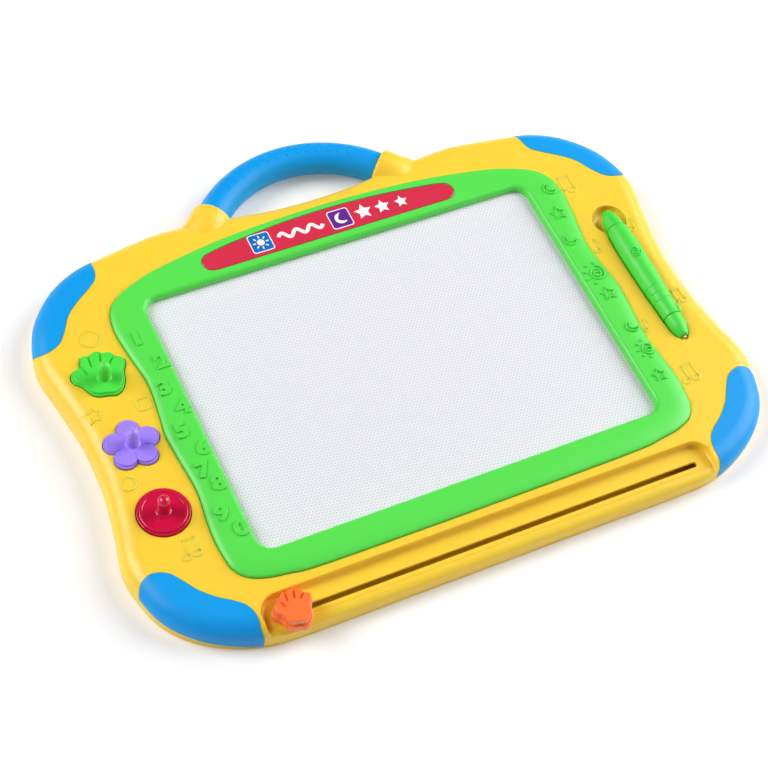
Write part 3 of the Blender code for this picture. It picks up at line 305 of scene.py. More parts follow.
def prism(loop, low, high):
    return loft([(loop, low), (loop, high)])


def stepped(loop, profile):
    return loft([(grown(loop, out), height) for out, height in profile])


def figure(outline, radius, x, y, profile):
    return loft([(outline(radius + out, x, y), height) for out, height in profile])


def turned(profile, sides=48):
    rows = [[(p.x, p.y, height) for p in roundLoop(0, 0, radius, sides)] if radius else [(0, 0, height)]
            for radius, height in profile]
    return skinned(rows, False)


def outwards(shape):
    bmesh.ops.recalc_face_normals(shape, faces=shape.faces)
    return shape


def moved(shape, matrix):
    bmesh.ops.transform(shape, matrix=matrix, verts=shape.verts)
    return shape


def placed(shape, x, y, z=0):
    return moved(shape, Matrix.Translation((x, y, z)))


def axes(*columns):
    return Matrix(columns).transposed().to_4x4()


# Profile points of an arc about (out, high), between two angles in degrees
def arc(out, high, radius, start, end, steps):
    angles = [radians(start + (end - start) * i / steps) for i in range(steps + 1)]
    return [(out + radius * cos(a), high + radius * sin(a)) for a in angles]


# Profile of a body's rounded upper edge, which ends on its flat top
def roundedTop(edge, top, radius, steps=4):
    return arc(edge - radius, top - radius, radius, 0, 90, steps)


# Profile of a cutter's mouth, which leaves a rounded edge on the face that it cuts
def flaredMouth(edge, top, radius, steps=3):
    last = 90 * steps / (steps + 1)
    flare = arc(edge + radius, top - radius, radius, 180, 180 - last, steps)
    return flare + [(edge + radius + past, top + past)]


def meshOf(shape, name="body"):
    mesh = bpy.data.meshes.new(name)
    shape.to_mesh(mesh)
    shape.free()
    return mesh


def linked(name, data):
    made = bpy.data.objects.new(name, data)
    bpy.context.scene.collection.objects.link(made)
    return made


def together(shapes):
    whole = bmesh.new()
    for shape in shapes:
        mesh = meshOf(shape)
        whole.from_mesh(mesh)
        bpy.data.meshes.remove(mesh)
    return whole


# The shape after steps, each of which names an operation and its tool shapes
def combined(shape, *steps):
    base = linked("temporary", meshOf(shape))
    temporary = [base]
    for operation, *tools in steps:
        for tool in tools:
            helper = linked("temporary", meshOf(tool))
            temporary.append(helper)
            modifier = base.modifiers.new("cut", "BOOLEAN")
            modifier.operation = operation
            modifier.object = helper
    bpy.context.view_layer.update()
    result = bmesh.new()
    result.from_object(base, bpy.context.evaluated_depsgraph_get())
    for old in temporary:
        mesh = old.data
        bpy.data.objects.remove(old)
        bpy.data.meshes.remove(mesh)
    return result


# A finished piece from a shape drawn on the plan, riding on a body and standing for CAD nodes
def addPiece(name, shape, slotName, *stands, body="housing", look=None, sharp=32, weighted=True):
    mesh = meshOf(placed(shape, 0, screenY), name)
    mesh.materials.append(materials[look or slotName])
    mesh.shade_smooth()
    mesh.set_sharp_from_angle(angle=radians(sharp))
    piece = linked(name, mesh)
    if weighted:
        piece.modifiers.new("evenShading", "WEIGHTED_NORMAL").keep_sharp = True
    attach(piece, body)
    if stands:
        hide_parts(*stands)


# Outlines of the pieces

def thousandths(*pairs):
    return tuple((x / 1000, y / 1000) for x, y in pairs)


# Half outlines from the front middle to the back middle, as shares of half the width and of the depth
boardShares = thousandths(
    (0, 0), (300, 0), (590, 0), (708, 6), (806, 30), (888, 66), (953, 118), (986, 180), (1000, 252),
    (978, 336), (958, 423), (953, 494), (956, 574), (975, 667), (994, 761), (966, 842), (919, 895),
    (853, 939), (770, 969), (668, 984), (575, 994), (489, 1000), (373, 994), (251, 984), (131, 973),
    (0, 969))
frameShares = thousandths(
    (0, 0), (650, 2), (796, 11), (873, 19), (940, 37), (976, 66), (988, 99), (994, 151), (990, 210),
    (975, 299), (988, 412), (993, 475), (982, 535), (969, 630), (990, 733), (1000, 793), (998, 834),
    (982, 873), (934, 908), (847, 935), (727, 958), (484, 984), (252, 996), (0, 1000))
labelShares = thousandths(
    (0, 0), (450, 0), (850, 0), (925, 10), (978, 100), (1000, 330), (978, 550), (920, 665), (700, 810),
    (350, 955), (0, 1000))
# An open hand with the thumb at the left, as shares of its radius
handShares = thousandths(
    (-1000, 150), (-920, 350), (-750, 465), (-560, 475), (-510, 680), (-420, 850), (-280, 910),
    (-120, 865), (-10, 910), (135, 960), (280, 905), (380, 805), (550, 795), (665, 710), (730, 560),
    (840, 495), (970, 380), (1000, 235), (930, 60), (800, -160), (755, -380), (635, -645), (460, -855),
    (225, -960), (-40, -880), (-335, -820), (-540, -675), (-660, -440), (-765, -235), (-940, -60))
# Valleys between the fingers, and where each slit ends, as shares of the hand's radius
slitShares = (
    ((-0.54, 0.56), (-0.43, 0.14)), ((-0.14, 0.92), (-0.19, 0.36)), ((0.31, 0.92), (0.16, 0.38)),
    ((0.74, 0.6), (0.42, 0.26)),
)
flower = {"petals": 5, "petalShare": 0.405, "turn": 84}


def housingOutline(steps):
    return mirroredLoop(boardShares, board["halfWidth"], board["front"], boardDepth, steps)


def housingForm(inset, low, steps, shoulderSteps, lowEdge=0):
    rings = [(-inset, low)]
    if lowEdge:
        rings = [(-inset - lowEdge + out, low + height)
                 for out, height in arc(0, lowEdge, lowEdge, -90, 0, 3)]
    for step in range(shoulderSteps + 1):
        angle = step / shoulderSteps * pi / 2
        inward = board["shoulderWidth"] - (board["shoulderWidth"] - inset) * cos(angle)
        rise = (board["shoulderRise"] - inset) * sin(angle)
        rings.append((-inward, boardTop - board["shoulderRise"] + rise))
    return stepped(housingOutline(steps), rings)


def handOutline(radius, x, y):
    return smoothLoop(anticlockwise([Vector((x + a * radius, y + b * radius)) for a, b in handShares]), 4)


def flowerOutline(radius, x, y, steps=9):
    petalRadius = radius * flower["petalShare"]
    apart = pi / flower["petals"]
    reach = apart + asin((radius - petalRadius) / petalRadius * sin(apart))
    loop = []
    for petal in range(flower["petals"]):
        turn = radians(flower["turn"]) + 2 * apart * petal
        centre = Vector((x, y)) + (radius - petalRadius) * direction(turn)
        loop += [centre + petalRadius * direction(turn + reach * step / steps)
                 for step in range(-steps, steps)]
    return loop


def roundOutline(radius, x, y):
    return roundLoop(x, y, radius, 72)


# Screen and its frame

screen = lengths(halfWidth=130, halfHeight=91.5, corner=9, panelSide=10, panelEnd=6.5, panelCorner=4,
                 blockLow=12.7, wellLow=14.9, windowLow=8, windowEdge=5)
bezel = lengths(sideBand=22.6, frontBand=19.7, backBand=31, rise=3.5, straight=0.7, shoulder=5.5,
                sideShoulder=12, frontShoulder=13, lip=3, recess=1.2, recessEdge=0.3)
bezelHalf = screen["halfWidth"] + bezel["sideBand"]
bezelFront = -screen["halfHeight"] - bezel["frontBand"]
bezelBack = screen["halfHeight"] + bezel["backBand"]
bezelTop = boardTop + bezel["rise"]
label = lengths(halfWidth=86, height=20.2, margin=5.7, depth=1.2, thickness=1.1, edge=0.8)
labelFront = screen["halfHeight"] + label["margin"]


def bezelOutline():
    return mirroredLoop(frameShares, bezelHalf, bezelFront, bezelBack - bezelFront, board["outlineSteps"])


def panelLoop(grow=0):
    return boxLoop(screen["halfWidth"] + screen["panelSide"] + grow,
                   screen["halfHeight"] + screen["panelEnd"] + grow, screen["panelCorner"])


def labelLoop():
    return mirroredLoop(labelShares, label["halfWidth"], labelFront, label["height"], 6)


def buildBezel(steps=12):
    outline = bezelOutline()
    foot = boardTop - bezel["recess"] + gap
    side = boardTop + bezel["straight"]
    narrower = (bezel["sideShoulder"] - bezel["shoulder"]) / bezelHalf
    shorter = (bezel["frontShoulder"] - bezel["shoulder"]) / -bezelFront
    rings = [(outline, foot)]
    for step in range(steps + 1):
        angle = step / steps * pi / 2
        share = 1 - cos(angle)
        loop = [Vector((p.x * (1 - share * narrower), max(p.y, p.y * (1 - share * shorter))))
                for p in grown(outline, -bezel["shoulder"] * share)]
        rings.append((loop, side + (bezelTop - side) * sin(angle)))
    lip = prism(panelLoop(), screenTop + gap, foot + past / 2)
    opening = stepped(boxLoop(screen["halfWidth"], screen["halfHeight"], screen["corner"], steps=12),
                      [(0, screenTop - past)] + flaredMouth(0, bezelTop, bezel["lip"], 7))
    seat = stepped(labelLoop(), [(gap, bezelTop - label["depth"]), (gap, bezelTop + past)])
    shape = combined(loft(rings), ("UNION", lip), ("DIFFERENCE", opening, seat))
    addPiece("bezelMoulding", shape, "bezel_green", "screen_bezel")


def buildLabel():
    low = bezelTop - label["depth"] + gap
    high = low + label["thickness"]
    shape = stepped(labelLoop(), [(0, low)] + roundedTop(0, high, label["edge"], 3))
    addPiece("labelPlate", shape, "label_red", "label_plate")
    return high


buildBezel()
labelTop = buildLabel()
coat(honeycombFilm(), "screen_front_film")
coat(materials["backFilm"], "screen_cell_core", "screen_back_film")
print("screen and frame ready")


# Housing

ledge = lengths(band=28.6, strip=4.7, drop=6, corner=12, coveRadius=1.8, lipRadius=0.9, apron=6.3,
                apronFall=4, crease=0.2, beyondSlot=10.6, floor=2)
slot = lengths(width=3.4, beyondScreen=5.7, fromWall=17.9, edge=0.25)
ledgeZ = boardTop - ledge["drop"]
slotHalf = screen["halfWidth"] + slot["beyondScreen"]
ledgeHalf = slotHalf + ledge["beyondSlot"]
slotY = bezelFront - slot["fromWall"]
apronEnd = 86  # degrees that the apron's curve turns through

stamps = lengths(x=-171.5, radius=17, proud=2.6, height=8.7, clearance=0.5, underFoot=0.9, hand=52.5,
                 flower=0.8, round=-46.9, roundRadius=15.4, edge=0.3)
stampTop = boardTop + stamps["proud"]
stampFoot = stampTop - stamps["height"]
pocketFloor = stampFoot - stamps["underFoot"]
stampForms = {"hand": (handOutline, stamps["radius"]), "flower": (flowerOutline, stamps["radius"]),
              "round": (roundOutline, stamps["roundRadius"])}

pen = lengths(x=171.5, tip=-50.5, length=105, radius=7.6, rise=0.4, margin=1.2, tipRadius=1.1,
              dip=11.2, dipCorner=4.5, dipFromEnd=6, dipFloor=0.1)
penAxis = boardTop + pen["rise"]
# Pen radius along its length from the tip, as shares of the largest radius and of the length
noseShares = thousandths((300, 16), (470, 28), (690, 75.5), (745, 118), (765, 158))
barrelShares = thousandths(
    (800, 161), (820, 210), (885, 290), (955, 408), (1000, 660), (950, 770), (840, 859))
capShares = thousandths((830, 862), (720, 922), (580, 962), (330, 992))

handle = lengths(radius=10.3, middle=-4.5, spread=57.5, rise=24.9, reach=1.8, socketWall=3, socketRim=2.2,
                 socketLength=22, mouthGap=0.9, mouthLength=11, spigotRadius=7.3, spigotLength=13, edge=0.5)
# Distance into the housing, half width and rise of a socket, as shares of its length and outer radius
socketShares = ((0.4, 1.01, 0.96), (0.7, 1.07, 0.85), (1, 1.2, 0.69))
handleY = board["back"] + handle["reach"]
handleZ = handle["radius"] + gap
handleArc = (handle["spread"]**2 + handle["rise"]**2) / (2 * handle["rise"])
handleSweep = asin(handle["spread"] / handleArc)

grips = lengths(thickness=1.2, proud=0.2, rise=6, stripFromLedge=2.3)
gripInset = grips["thickness"] - grips["proud"]
gripGap = gap * 0.8  # a closer fit than elsewhere
# Outline and lower edge of the corner grips, as shares of the width from the ledge's end to the
# board's side, and of the depth
gripShares = {
    "front": (thousandths(
        (0, -43), (0, 20), (-11, 48), (32, 75), (130, 94), (278, 115), (419, 143), (527, 175),
        (621, 198), (762, 209), (903, 201), (982, 175), (1134, 136), (1134, 34), (729, -43)),
        thousandths((0, 0), (964, 165))),
    "back": (thousandths(
        (-18, 1045), (-18, 957), (14, 920), (123, 899), (289, 876), (455, 847), (570, 810), (675, 785),
        (816, 774), (939, 782), (1007, 810), (1148, 841), (1116, 947), (729, 1034)),
        thousandths((-18, 985), (964, 820))),
}


def socketFrame(side):
    inward = Vector((side * cos(handleSweep), -sin(handleSweep), 0))
    up = Vector((0, 0, 1))
    place = axes(up.cross(inward), up, inward)
    place.translation = (handle["middle"] + side * handle["spread"], handleY, handleZ)
    return place


def archLoop(width, rise, foot, sides=32):
    loop = [Vector((width * cos(i * pi / sides), rise * sin(i * pi / sides)))
            for i in range(sides + 1)]
    return loop + [Vector((-width, foot)), Vector((width, foot))]


# Distance from the socket's face, half width and rise, from its rounded rim into the housing
def socketSizes(steps=4):
    outer = handle["radius"] + handle["socketWall"]
    rim = handle["socketRim"]
    sizes = [(rim - deep, outer - rim + out, outer - rim + out) for out, deep in arc(0, 0, rim, 90, 0, 8)]
    stations = [(rim / handle["socketLength"], outer, outer)]
    stations += [(along, wide * outer, tall * outer) for along, wide, tall in socketShares]
    for near, far in zip(stations, stations[1:]):
        for step in range(1, steps + 1):
            along, wide, tall = (a + (b - a) * (step / steps) for a, b in zip(near, far))
            sizes.append((along * handle["socketLength"], wide, tall))
    return sizes


def gripPoint(xShare, yShare):
    start = ledgeHalf + grips["stripFromLedge"]
    return Vector((start + xShare * (board["halfWidth"] - start), board["front"] + yShare * boardDepth))


def gripColumn(end, side, grow=0):
    outline, (foot, head) = ([gripPoint(x, y) for x, y in shares] for shares in gripShares[end])
    run = head - foot
    loop = grown(smoothLoop(anticlockwise(outline), 5), grow)
    low = [board["partingTop"] - grow + gap + grips["rise"] * (p - foot).dot(run) / run.dot(run)
           for p in loop]
    if side < 0:
        loop = [Vector((-p.x, p.y)) for p in loop[::-1]]
        low = low[::-1]
    return loft([(loop, low), (loop, boardTop + past)])


def penPoints(shares):
    return [(r * pen["radius"], s * pen["length"]) for r, s in shares]


def alongPen(shape, lift=0):
    place = Matrix.Translation((pen["x"], pen["tip"], penAxis + lift))
    return moved(shape, place @ Matrix.Rotation(-pi / 2, 4, "X"))


# What the outer walls, the pockets, the ledge and the screen's well leave free is hollow
def hollow(wall, dipY, dipDepth):
    penHalf = (pen["length"] + pen["dip"]) / 2
    blocks = [(panelLoop(gap + wall), screen["blockLow"]),
              (boxLoop(ledgeHalf + wall, ledge["band"] - ledge["strip"] + wall, wall, 0, board["front"]),
               ledgeZ - ledge["floor"])]
    pegRadius = stamps["radius"] + stamps["clearance"] + wall
    blocks += [(roundLoop(stamps["x"], stamps[name], pegRadius, 32), pocketFloor - wall)
               for name in stampForms]
    blocks += [(boxLoop(pen["radius"] + pen["margin"] + wall, penHalf + wall, pen["radius"],
                        pen["x"], pen["tip"] + penHalf - wall), penAxis - pen["radius"] - gap - wall),
               (roundLoop(pen["x"], dipY, pen["dip"] + wall, 32), boardTop - dipDepth - wall)]
    return combined(housingForm(wall, -past, 2, 3),
                    ("DIFFERENCE", *(prism(loop, low, boardTop + past) for loop, low in blocks)))


# Ledge with a coved wall and a rolled lip, the eraser's slot, and the apron in front
def ledgeCuts():
    loop = boxLoop(ledgeHalf, ledge["band"] - ledge["strip"] + past, ledge["corner"],
                   0, board["front"] - past, 12)
    wallOut = -ledge["lipRadius"]
    cove = ledge["coveRadius"]
    recess = arc(wallOut - cove, ledgeZ + cove, cove, -90, 0, 6)
    recess += flaredMouth(wallOut, boardTop, ledge["lipRadius"], 5)
    slit = [(0, ledgeZ - ledge["floor"] - past)] + flaredMouth(0, ledgeZ, slot["edge"])
    top = board["front"] + ledge["apron"]
    crease = ledgeZ - ledge["crease"]
    edge = [(top - ledge["apron"] * sin(a), crease - ledge["apronFall"] * (1 - cos(a)))
            for a in [radians(apronEnd) * i / 12 for i in range(13)]]
    far = board["front"] - past
    section = [(top + past, ledgeZ + past), (top, ledgeZ + past), *edge,
               (far, edge[-1][1] - past), (far, ledgeZ + past)]
    half = ledgeHalf - cove - ledge["lipRadius"]
    apron = prism(anticlockwise([Vector(point) for point in section]), -half, half)
    slitLoop = boxLoop(slotHalf, slot["width"] / 2, slot["width"] / 2, 0, slotY, 10)
    return [stepped(loop, recess), stepped(slitLoop, slit),
            moved(apron, axes((0, 1, 0), (0, 0, 1), (1, 0, 0)))]


def buildHousing():
    blockTop = boardTop + past
    dipY = pen["tip"] + pen["length"] - pen["dipFromEnd"]
    dipDepth = pen["radius"] - pen["dipFloor"]
    sockets = [moved(loft([(archLoop(wide, tall, board["partingTop"] - handleZ), along)
                           for along, wide, tall in socketSizes()]), socketFrame(side)) for side in (-1, 1)]

    # Well and window for the screen panel, and the recess that the frame sits in
    cuts = [hollow(board["wall"], dipY, dipDepth), prism(panelLoop(gap), screen["wellLow"], blockTop),
            prism(panelLoop(-screen["windowEdge"]), screen["windowLow"], blockTop)]
    recess = [(gap, boardTop - bezel["recess"])] + flaredMouth(gap, boardTop, bezel["recessEdge"])
    cuts += [stepped(bezelOutline(), recess), *ledgeCuts()]

    # Pockets with softly rounded rims
    rim = [(stamps["clearance"], pocketFloor)] + flaredMouth(stamps["clearance"], boardTop, stamps["edge"])
    cuts += [figure(outline, radius, stamps["x"], stamps[name], rim)
             for name, (outline, radius) in stampForms.items()]
    margin = pen["margin"]
    groove = [(0, -margin), (pen["tipRadius"] + margin, -margin / 2)]
    groove += [(r + margin, y) for r, y in penPoints(noseShares[:-1] + barrelShares + capShares)]
    groove = smoothProfile(groove, 4) + [(0, pen["length"] + margin)]
    corner = pen["dipCorner"]
    dip = [(0, -dipDepth)] + arc(pen["dip"] - corner, corner - dipDepth, corner, -90, 0, 8)
    dip += flaredMouth(pen["dip"], 0, stamps["edge"]) + [(0, past)]
    cuts += [alongPen(turned(groove), margin - gap), placed(turned(dip, 64), pen["x"], dipY, boardTop)]

    # Beds for the corner grips, and the open-bottomed bores of the handle's sockets
    for end in gripShares:
        cuts += [combined(gripColumn(end, side, gripGap),
                          ("DIFFERENCE", housingForm(gripInset + gap, -past * 2, 3, 6))) for side in (-1, 1)]
    radius = handle["spigotRadius"] + gap
    for side in (-1, 1):
        bore = prism(archLoop(radius, radius, -handleZ), -past, handle["spigotLength"] + gap)
        mouth = prism(roundLoop(0, 0, handle["radius"] + handle["mouthGap"]),
                      -handle["mouthLength"], -gap / 2)
        cuts += [moved(bore, socketFrame(side)), moved(mouth, socketFrame(side))]
    form = housingForm(0, board["partingTop"], board["outlineSteps"], board["shoulderSteps"],
                       board["lowEdge"])
    shape = combined(form, ("UNION", *sockets), ("DIFFERENCE", *cuts))
    addPiece("housingMoulding", shape, "housing_yellow", "front_shell")


def buildGrips():
    for end in gripShares:
        for side, word in ((-1, "left"), (1, "right")):
            shape = combined(gripColumn(end, side),
                             ("INTERSECT", housingForm(-grips["proud"], -past, 6, 10)),
                             ("DIFFERENCE", housingForm(gripInset, -past * 2, 3, 6)))
            addPiece(f"cornerGrip_{end}_{word}", shape, "grip_blue", f"corner_grip_{end}_{word}")


buildHousing()
buildGrips()
print("housing ready")


# Back cover and its screws

cover = lengths(thickness=2.5, edge=1.5, tongueEdge=0.2, wellRadius=3.6, wellDepth=4.8, wellWall=1.8,
                wellRoof=2, wellLow=0.5, wellEdge=0.4)
screw = lengths(radius=3.3, head=2.4, seat=4.5, edge=1.2, shank=1.5, shankLength=8.5, length=10,
                cross=2.1, crossWidth=0.9, crossDepth=1.2, crossEdge=0.2)
# Screw places, as shares of the board's half width and depth
screwShares = ((0.85, 0.125), (0.715, 0.28), (0.715, 0.585), (0.8, 0.872), (0.2, 0.921))
screwPlaces = [(side * x * board["halfWidth"], board["front"] + y * boardDepth)
               for x, y in screwShares for side in (-1, 1)]


def atScrews(profile):
    return together([placed(turned(profile, 32), x, y) for x, y in screwPlaces])


def buildCover():
    half = cover["thickness"] / 2
    low = arc(-cover["edge"], cover["edge"], cover["edge"], -90, 0, 5)
    plate = stepped(housingOutline(board["outlineSteps"]), low + [(0, cover["thickness"])])
    tongues = [moved(loft([(boxLoop(wide, half, cover["tongueEdge"], 0, half - handleZ, 2), along)
                           for along, wide, _ in socketSizes()]), socketFrame(side)) for side in (-1, 1)]
    wide = cover["wellRadius"] + cover["wellWall"]
    roof = cover["wellDepth"] + cover["wellRoof"]
    wells = [(0, cover["wellLow"]), (wide, cover["wellLow"]), (wide, roof), (0, roof)]
    bores = [(0, cover["wellDepth"]), (cover["wellRadius"], cover["wellDepth"])]
    bores += [(r, -z) for r, z in flaredMouth(cover["wellRadius"], 0, cover["wellEdge"])] + [(0, -past)]
    shape = combined(plate, ("UNION", *tongues, atScrews(wells)), ("DIFFERENCE", atScrews(bores[::-1])))
    addPiece("backCover", shape, "housing_yellow", "rear_cover")


# Pan heads with a cross recess, seen from below at the bottom of their wells
def buildScrews():
    seat = screw["seat"]
    low = seat - screw["head"]
    edge = screw["edge"]
    profile = [(0, low), *arc(screw["radius"] - edge, low + edge, edge, -90, 0, 5),
               (screw["radius"], seat), (screw["shank"], seat),
               (screw["shank"], seat + screw["shankLength"]), (0, seat + screw["length"])]
    for number, (x, y) in enumerate(screwPlaces):
        cross = [moved(prism(boxLoop(screw["cross"], screw["crossWidth"] / 2, screw["crossEdge"], 0, 0, 2),
                             low - past, low + screw["crossDepth"]),
                       Matrix.Rotation(turn * pi / 2 + number, 4, "Z")) for turn in (0, 1)]
        shape = placed(combined(turned(profile, 32), ("DIFFERENCE", *cross)), x, y)
        addPiece(f"coverScrew_{number + 1}", shape, "screw_steel", f"housing_screw_{number + 1}")
    coat(materials["screw_steel"], *(f"bezel_screw_{number + 1}" for number in range(6)))


buildCover()
buildScrews()
print("back ready")


# Carry handle

handleLook = dict(lengths(dotRadius=1.1, dotHeight=0.3, dotSunk=0.4), steps=64, sides=40, dots=15,
                  dotSpan=70, rows=(62, 98))


def handlePoint(angle, roll, radius):
    out = Vector((sin(angle), cos(angle), 0))
    centre = Vector((handle["middle"], handleY + handle["rise"] - handleArc, handleZ)) + handleArc * out
    return centre + radius * (out * cos(roll) + Vector((0, 0, sin(roll))))


def buildHandle():
    steps, sides = handleLook["steps"], handleLook["sides"]
    edge = handle["edge"]
    radius = handle["radius"]
    sweep = handleSweep
    start = [(sweep + handle["spigotLength"] / handleArc, handle["spigotRadius"]),
             (sweep - gap / handleArc, handle["spigotRadius"])]
    start += [(sweep - gap / handleArc - (edge - edge * sin(a)) / handleArc,
               radius - edge + edge * cos(a)) for a in (pi / 2, pi / 4, 0)]
    middle = [(start[-1][0] * (1 - 2 * i / steps), radius) for i in range(1, steps)]
    rows = [[handlePoint(angle, 2 * pi * i / sides, r) for i in range(sides)]
            for angle, r in start + middle + [(-a, r) for a, r in start[::-1]]]
    addPiece("handleBar", outwards(skinned(rows)), "grip_blue", "carry_handle")

    # Two rows of raised dots along the top give the hand some hold
    wide, tall = handleLook["dotRadius"], handleLook["dotHeight"]
    profile = [(0, -handleLook["dotSunk"]), (wide, -handleLook["dotSunk"]),
               *((wide * cos(a), tall * sin(a)) for a in (0, 0.4, 0.8, 1.2)), (0, tall)]
    dots = []
    for row, roll in enumerate(handleLook["rows"]):
        roll = radians(roll)
        count = handleLook["dots"] - row
        for i in range(count):
            angle = radians(handleLook["dotSpan"] * ((i + 0.5) / count - 0.5))
            out = handlePoint(angle, roll, 1) - handlePoint(angle, roll, 0)
            place = out.to_track_quat("Z", "Y").to_matrix().to_4x4()
            place.translation = handlePoint(angle, roll, radius)
            dots.append(moved(turned(profile, 16), place))
    addPiece("handleDots", together(dots), "grip_blue", sharp=60)


buildHandle()
print("handle ready")


# Stamps

stampLook = lengths(
    step=1.3, stepDrop=1.2, edge=0.45, postRadius=3.8, postHeight=13.8, postCollar=1.1, slitWidth=1.5,
    slitDepth=1.2, magnet=1.8, magnetProud=0.6, magnetMargin=2, magnetEdge=0.2, magnetRoom=0.5,
    creaseWidth=1, creaseLow=0.5, creaseHigh=0.3, creaseIn=0.3, creaseOut=0.5, ringEdge=0.6,
    ringFoot=1.4, ringTop=1.5, ringInner=3.2, ringFloor=3.6, ringDrop=0.35)
handPost = (0.07, -0.19)  # the post's place, as shares of the hand's radius
creaseShares = (0.6, 0.4)  # where a crease between two petals starts and ends, as shares of the radius


# Rounded bar on the plan, narrowing to its far end
def capsule(start, end, width):
    run = end - start
    turn = atan2(run.y, run.x)
    return [point + width / share * direction(turn + side * pi / 2 + pi * i / 8)
            for point, share, side in ((start, 2, 1), (end, 3, -1)) for i in range(9)]


# Slits with a rounded bottom, which open towards the top
def fingerSlits(x, y, radius, top, depth, width):
    profile = [(-width / 4, top - depth), (-width / 10, top - depth * 0.85),
               (width / 10, top - depth * 0.3), (width / 5, top), (width / 5, top + past)]
    ends = [[Vector((x + a * radius, y + b * radius)) for a, b in slit] for slit in slitShares]
    return together([stepped(capsule(*slit, width), profile) for slit in ends])


def stampBody(outline, radius, y):
    step, edge = stampLook["step"], stampLook["edge"]
    low = stampTop - stampLook["stepDrop"]
    profile = [(0, stampFoot), *roundedTop(0, low, edge), (-step, low),
               *roundedTop(-step, stampTop, edge)]
    return figure(outline, radius, stamps["x"], y, profile)


def addStamp(name, slotName, shape, postX=0, postY=0):
    outline, radius = stampForms[name]
    x, y = stamps["x"], stamps[name]
    low = stampFoot - stampLook["magnetProud"]
    high = low + stampLook["magnet"]
    edge = stampLook["magnetEdge"]
    room = stampLook["magnetRoom"]
    inner = radius - stampLook["magnetMargin"]
    seat = figure(outline, inner, x, y, [(room, stampFoot - past), (room, high + gap)])
    wide, collar, tall = (stampLook["post" + part] for part in ("Radius", "Collar", "Height"))
    profile = [(0, -past), (wide + collar, -past), *arc(wide + collar, collar, collar, 270, 180, 5),
               *arc(0, tall - wide, wide, 0, 80, 7), (0, tall)]
    post = placed(turned(profile, 40), x + postX, y + postY, stampTop)
    addPiece(name + "Stamp", combined(shape, ("UNION", post), ("DIFFERENCE", seat)), slotName,
             name + "_stamp_body", body=name + "_stamp")
    magnet = figure(outline, inner, x, y, [(-edge, low), (0, low + edge), (0, high)])
    addPiece(name + "StampMagnet", magnet, "magnet_black", name + "_stamp_magnet", body=name + "_stamp")


def buildHandStamp():
    radius = stamps["radius"]
    y = stamps["hand"]
    slits = fingerSlits(stamps["x"], y, radius, stampTop, stampLook["slitDepth"], stampLook["slitWidth"])
    shape = combined(stampBody(handOutline, radius, y), ("DIFFERENCE", slits))
    addStamp("hand", "stamp_green", shape, *(share * radius for share in handPost))


def buildFlowerStamp():
    radius = stamps["radius"]
    y = stamps["flower"]
    profile = [(-stampLook["creaseIn"], stampTop - stampLook["creaseLow"]),
               (stampLook["creaseOut"], stampTop + stampLook["creaseHigh"])]
    apart = 180 / flower["petals"]
    creases = []
    for petal in range(flower["petals"]):
        turn = radians(flower["turn"] + apart + 2 * apart * petal)
        ends = [roundPoint(stamps["x"], y, radius * share, turn) for share in creaseShares]
        creases.append(stepped(capsule(*ends, stampLook["creaseWidth"]), profile))
    shape = combined(stampBody(flowerOutline, radius, y), ("DIFFERENCE", together(creases)))
    addStamp("flower", "stamp_purple", shape)


def buildRoundStamp():
    radius = stamps["roundRadius"]
    low = stampTop - stampLook["stepDrop"]
    floor = stampTop - stampLook["ringDrop"]
    foot, top, inner, end = (radius - stampLook["ring" + part] for part in ("Foot", "Top", "Inner", "Floor"))
    profile = [(0, stampFoot), (radius, stampFoot), *roundedTop(radius, low, stampLook["edge"]),
               (foot, low), *roundedTop(top, stampTop, stampLook["ringEdge"], 5),
               (inner, stampTop), (end, floor), (0, floor)]
    addStamp("round", "stamp_red", placed(turned(profile, 96), stamps["x"], stamps["round"]))


buildHandStamp()
buildFlowerStamp()
buildRoundStamp()
print("stamps ready")


# Pen

penLook = lengths(
    ringDepth=0.35, ringWidth=1, spigot=4.2, spigotLength=7, seamEdge=0.25, lugRadius=2.2, lugSunk=0.7) | {
    "ringShares": (0.271, 0.322, 0.372), "lugLong": 1.3, "lugShare": 0.186, "lugTurn": radians(62),
    "sides": 64}


def radiusAt(profile, along):
    for (r0, s0), (r1, s1) in zip(profile, profile[1:]):
        if s0 <= along <= s1:
            return r0 + (r1 - r0) * (along - s0) / (s1 - s0)
    return profile[-1][0]


def addPenPiece(name, profile, node, *steps):
    shape = alongPen(turned(profile, penLook["sides"]))
    addPiece(name, combined(shape, *steps) if steps else shape, "stamp_green", node, body="pen")


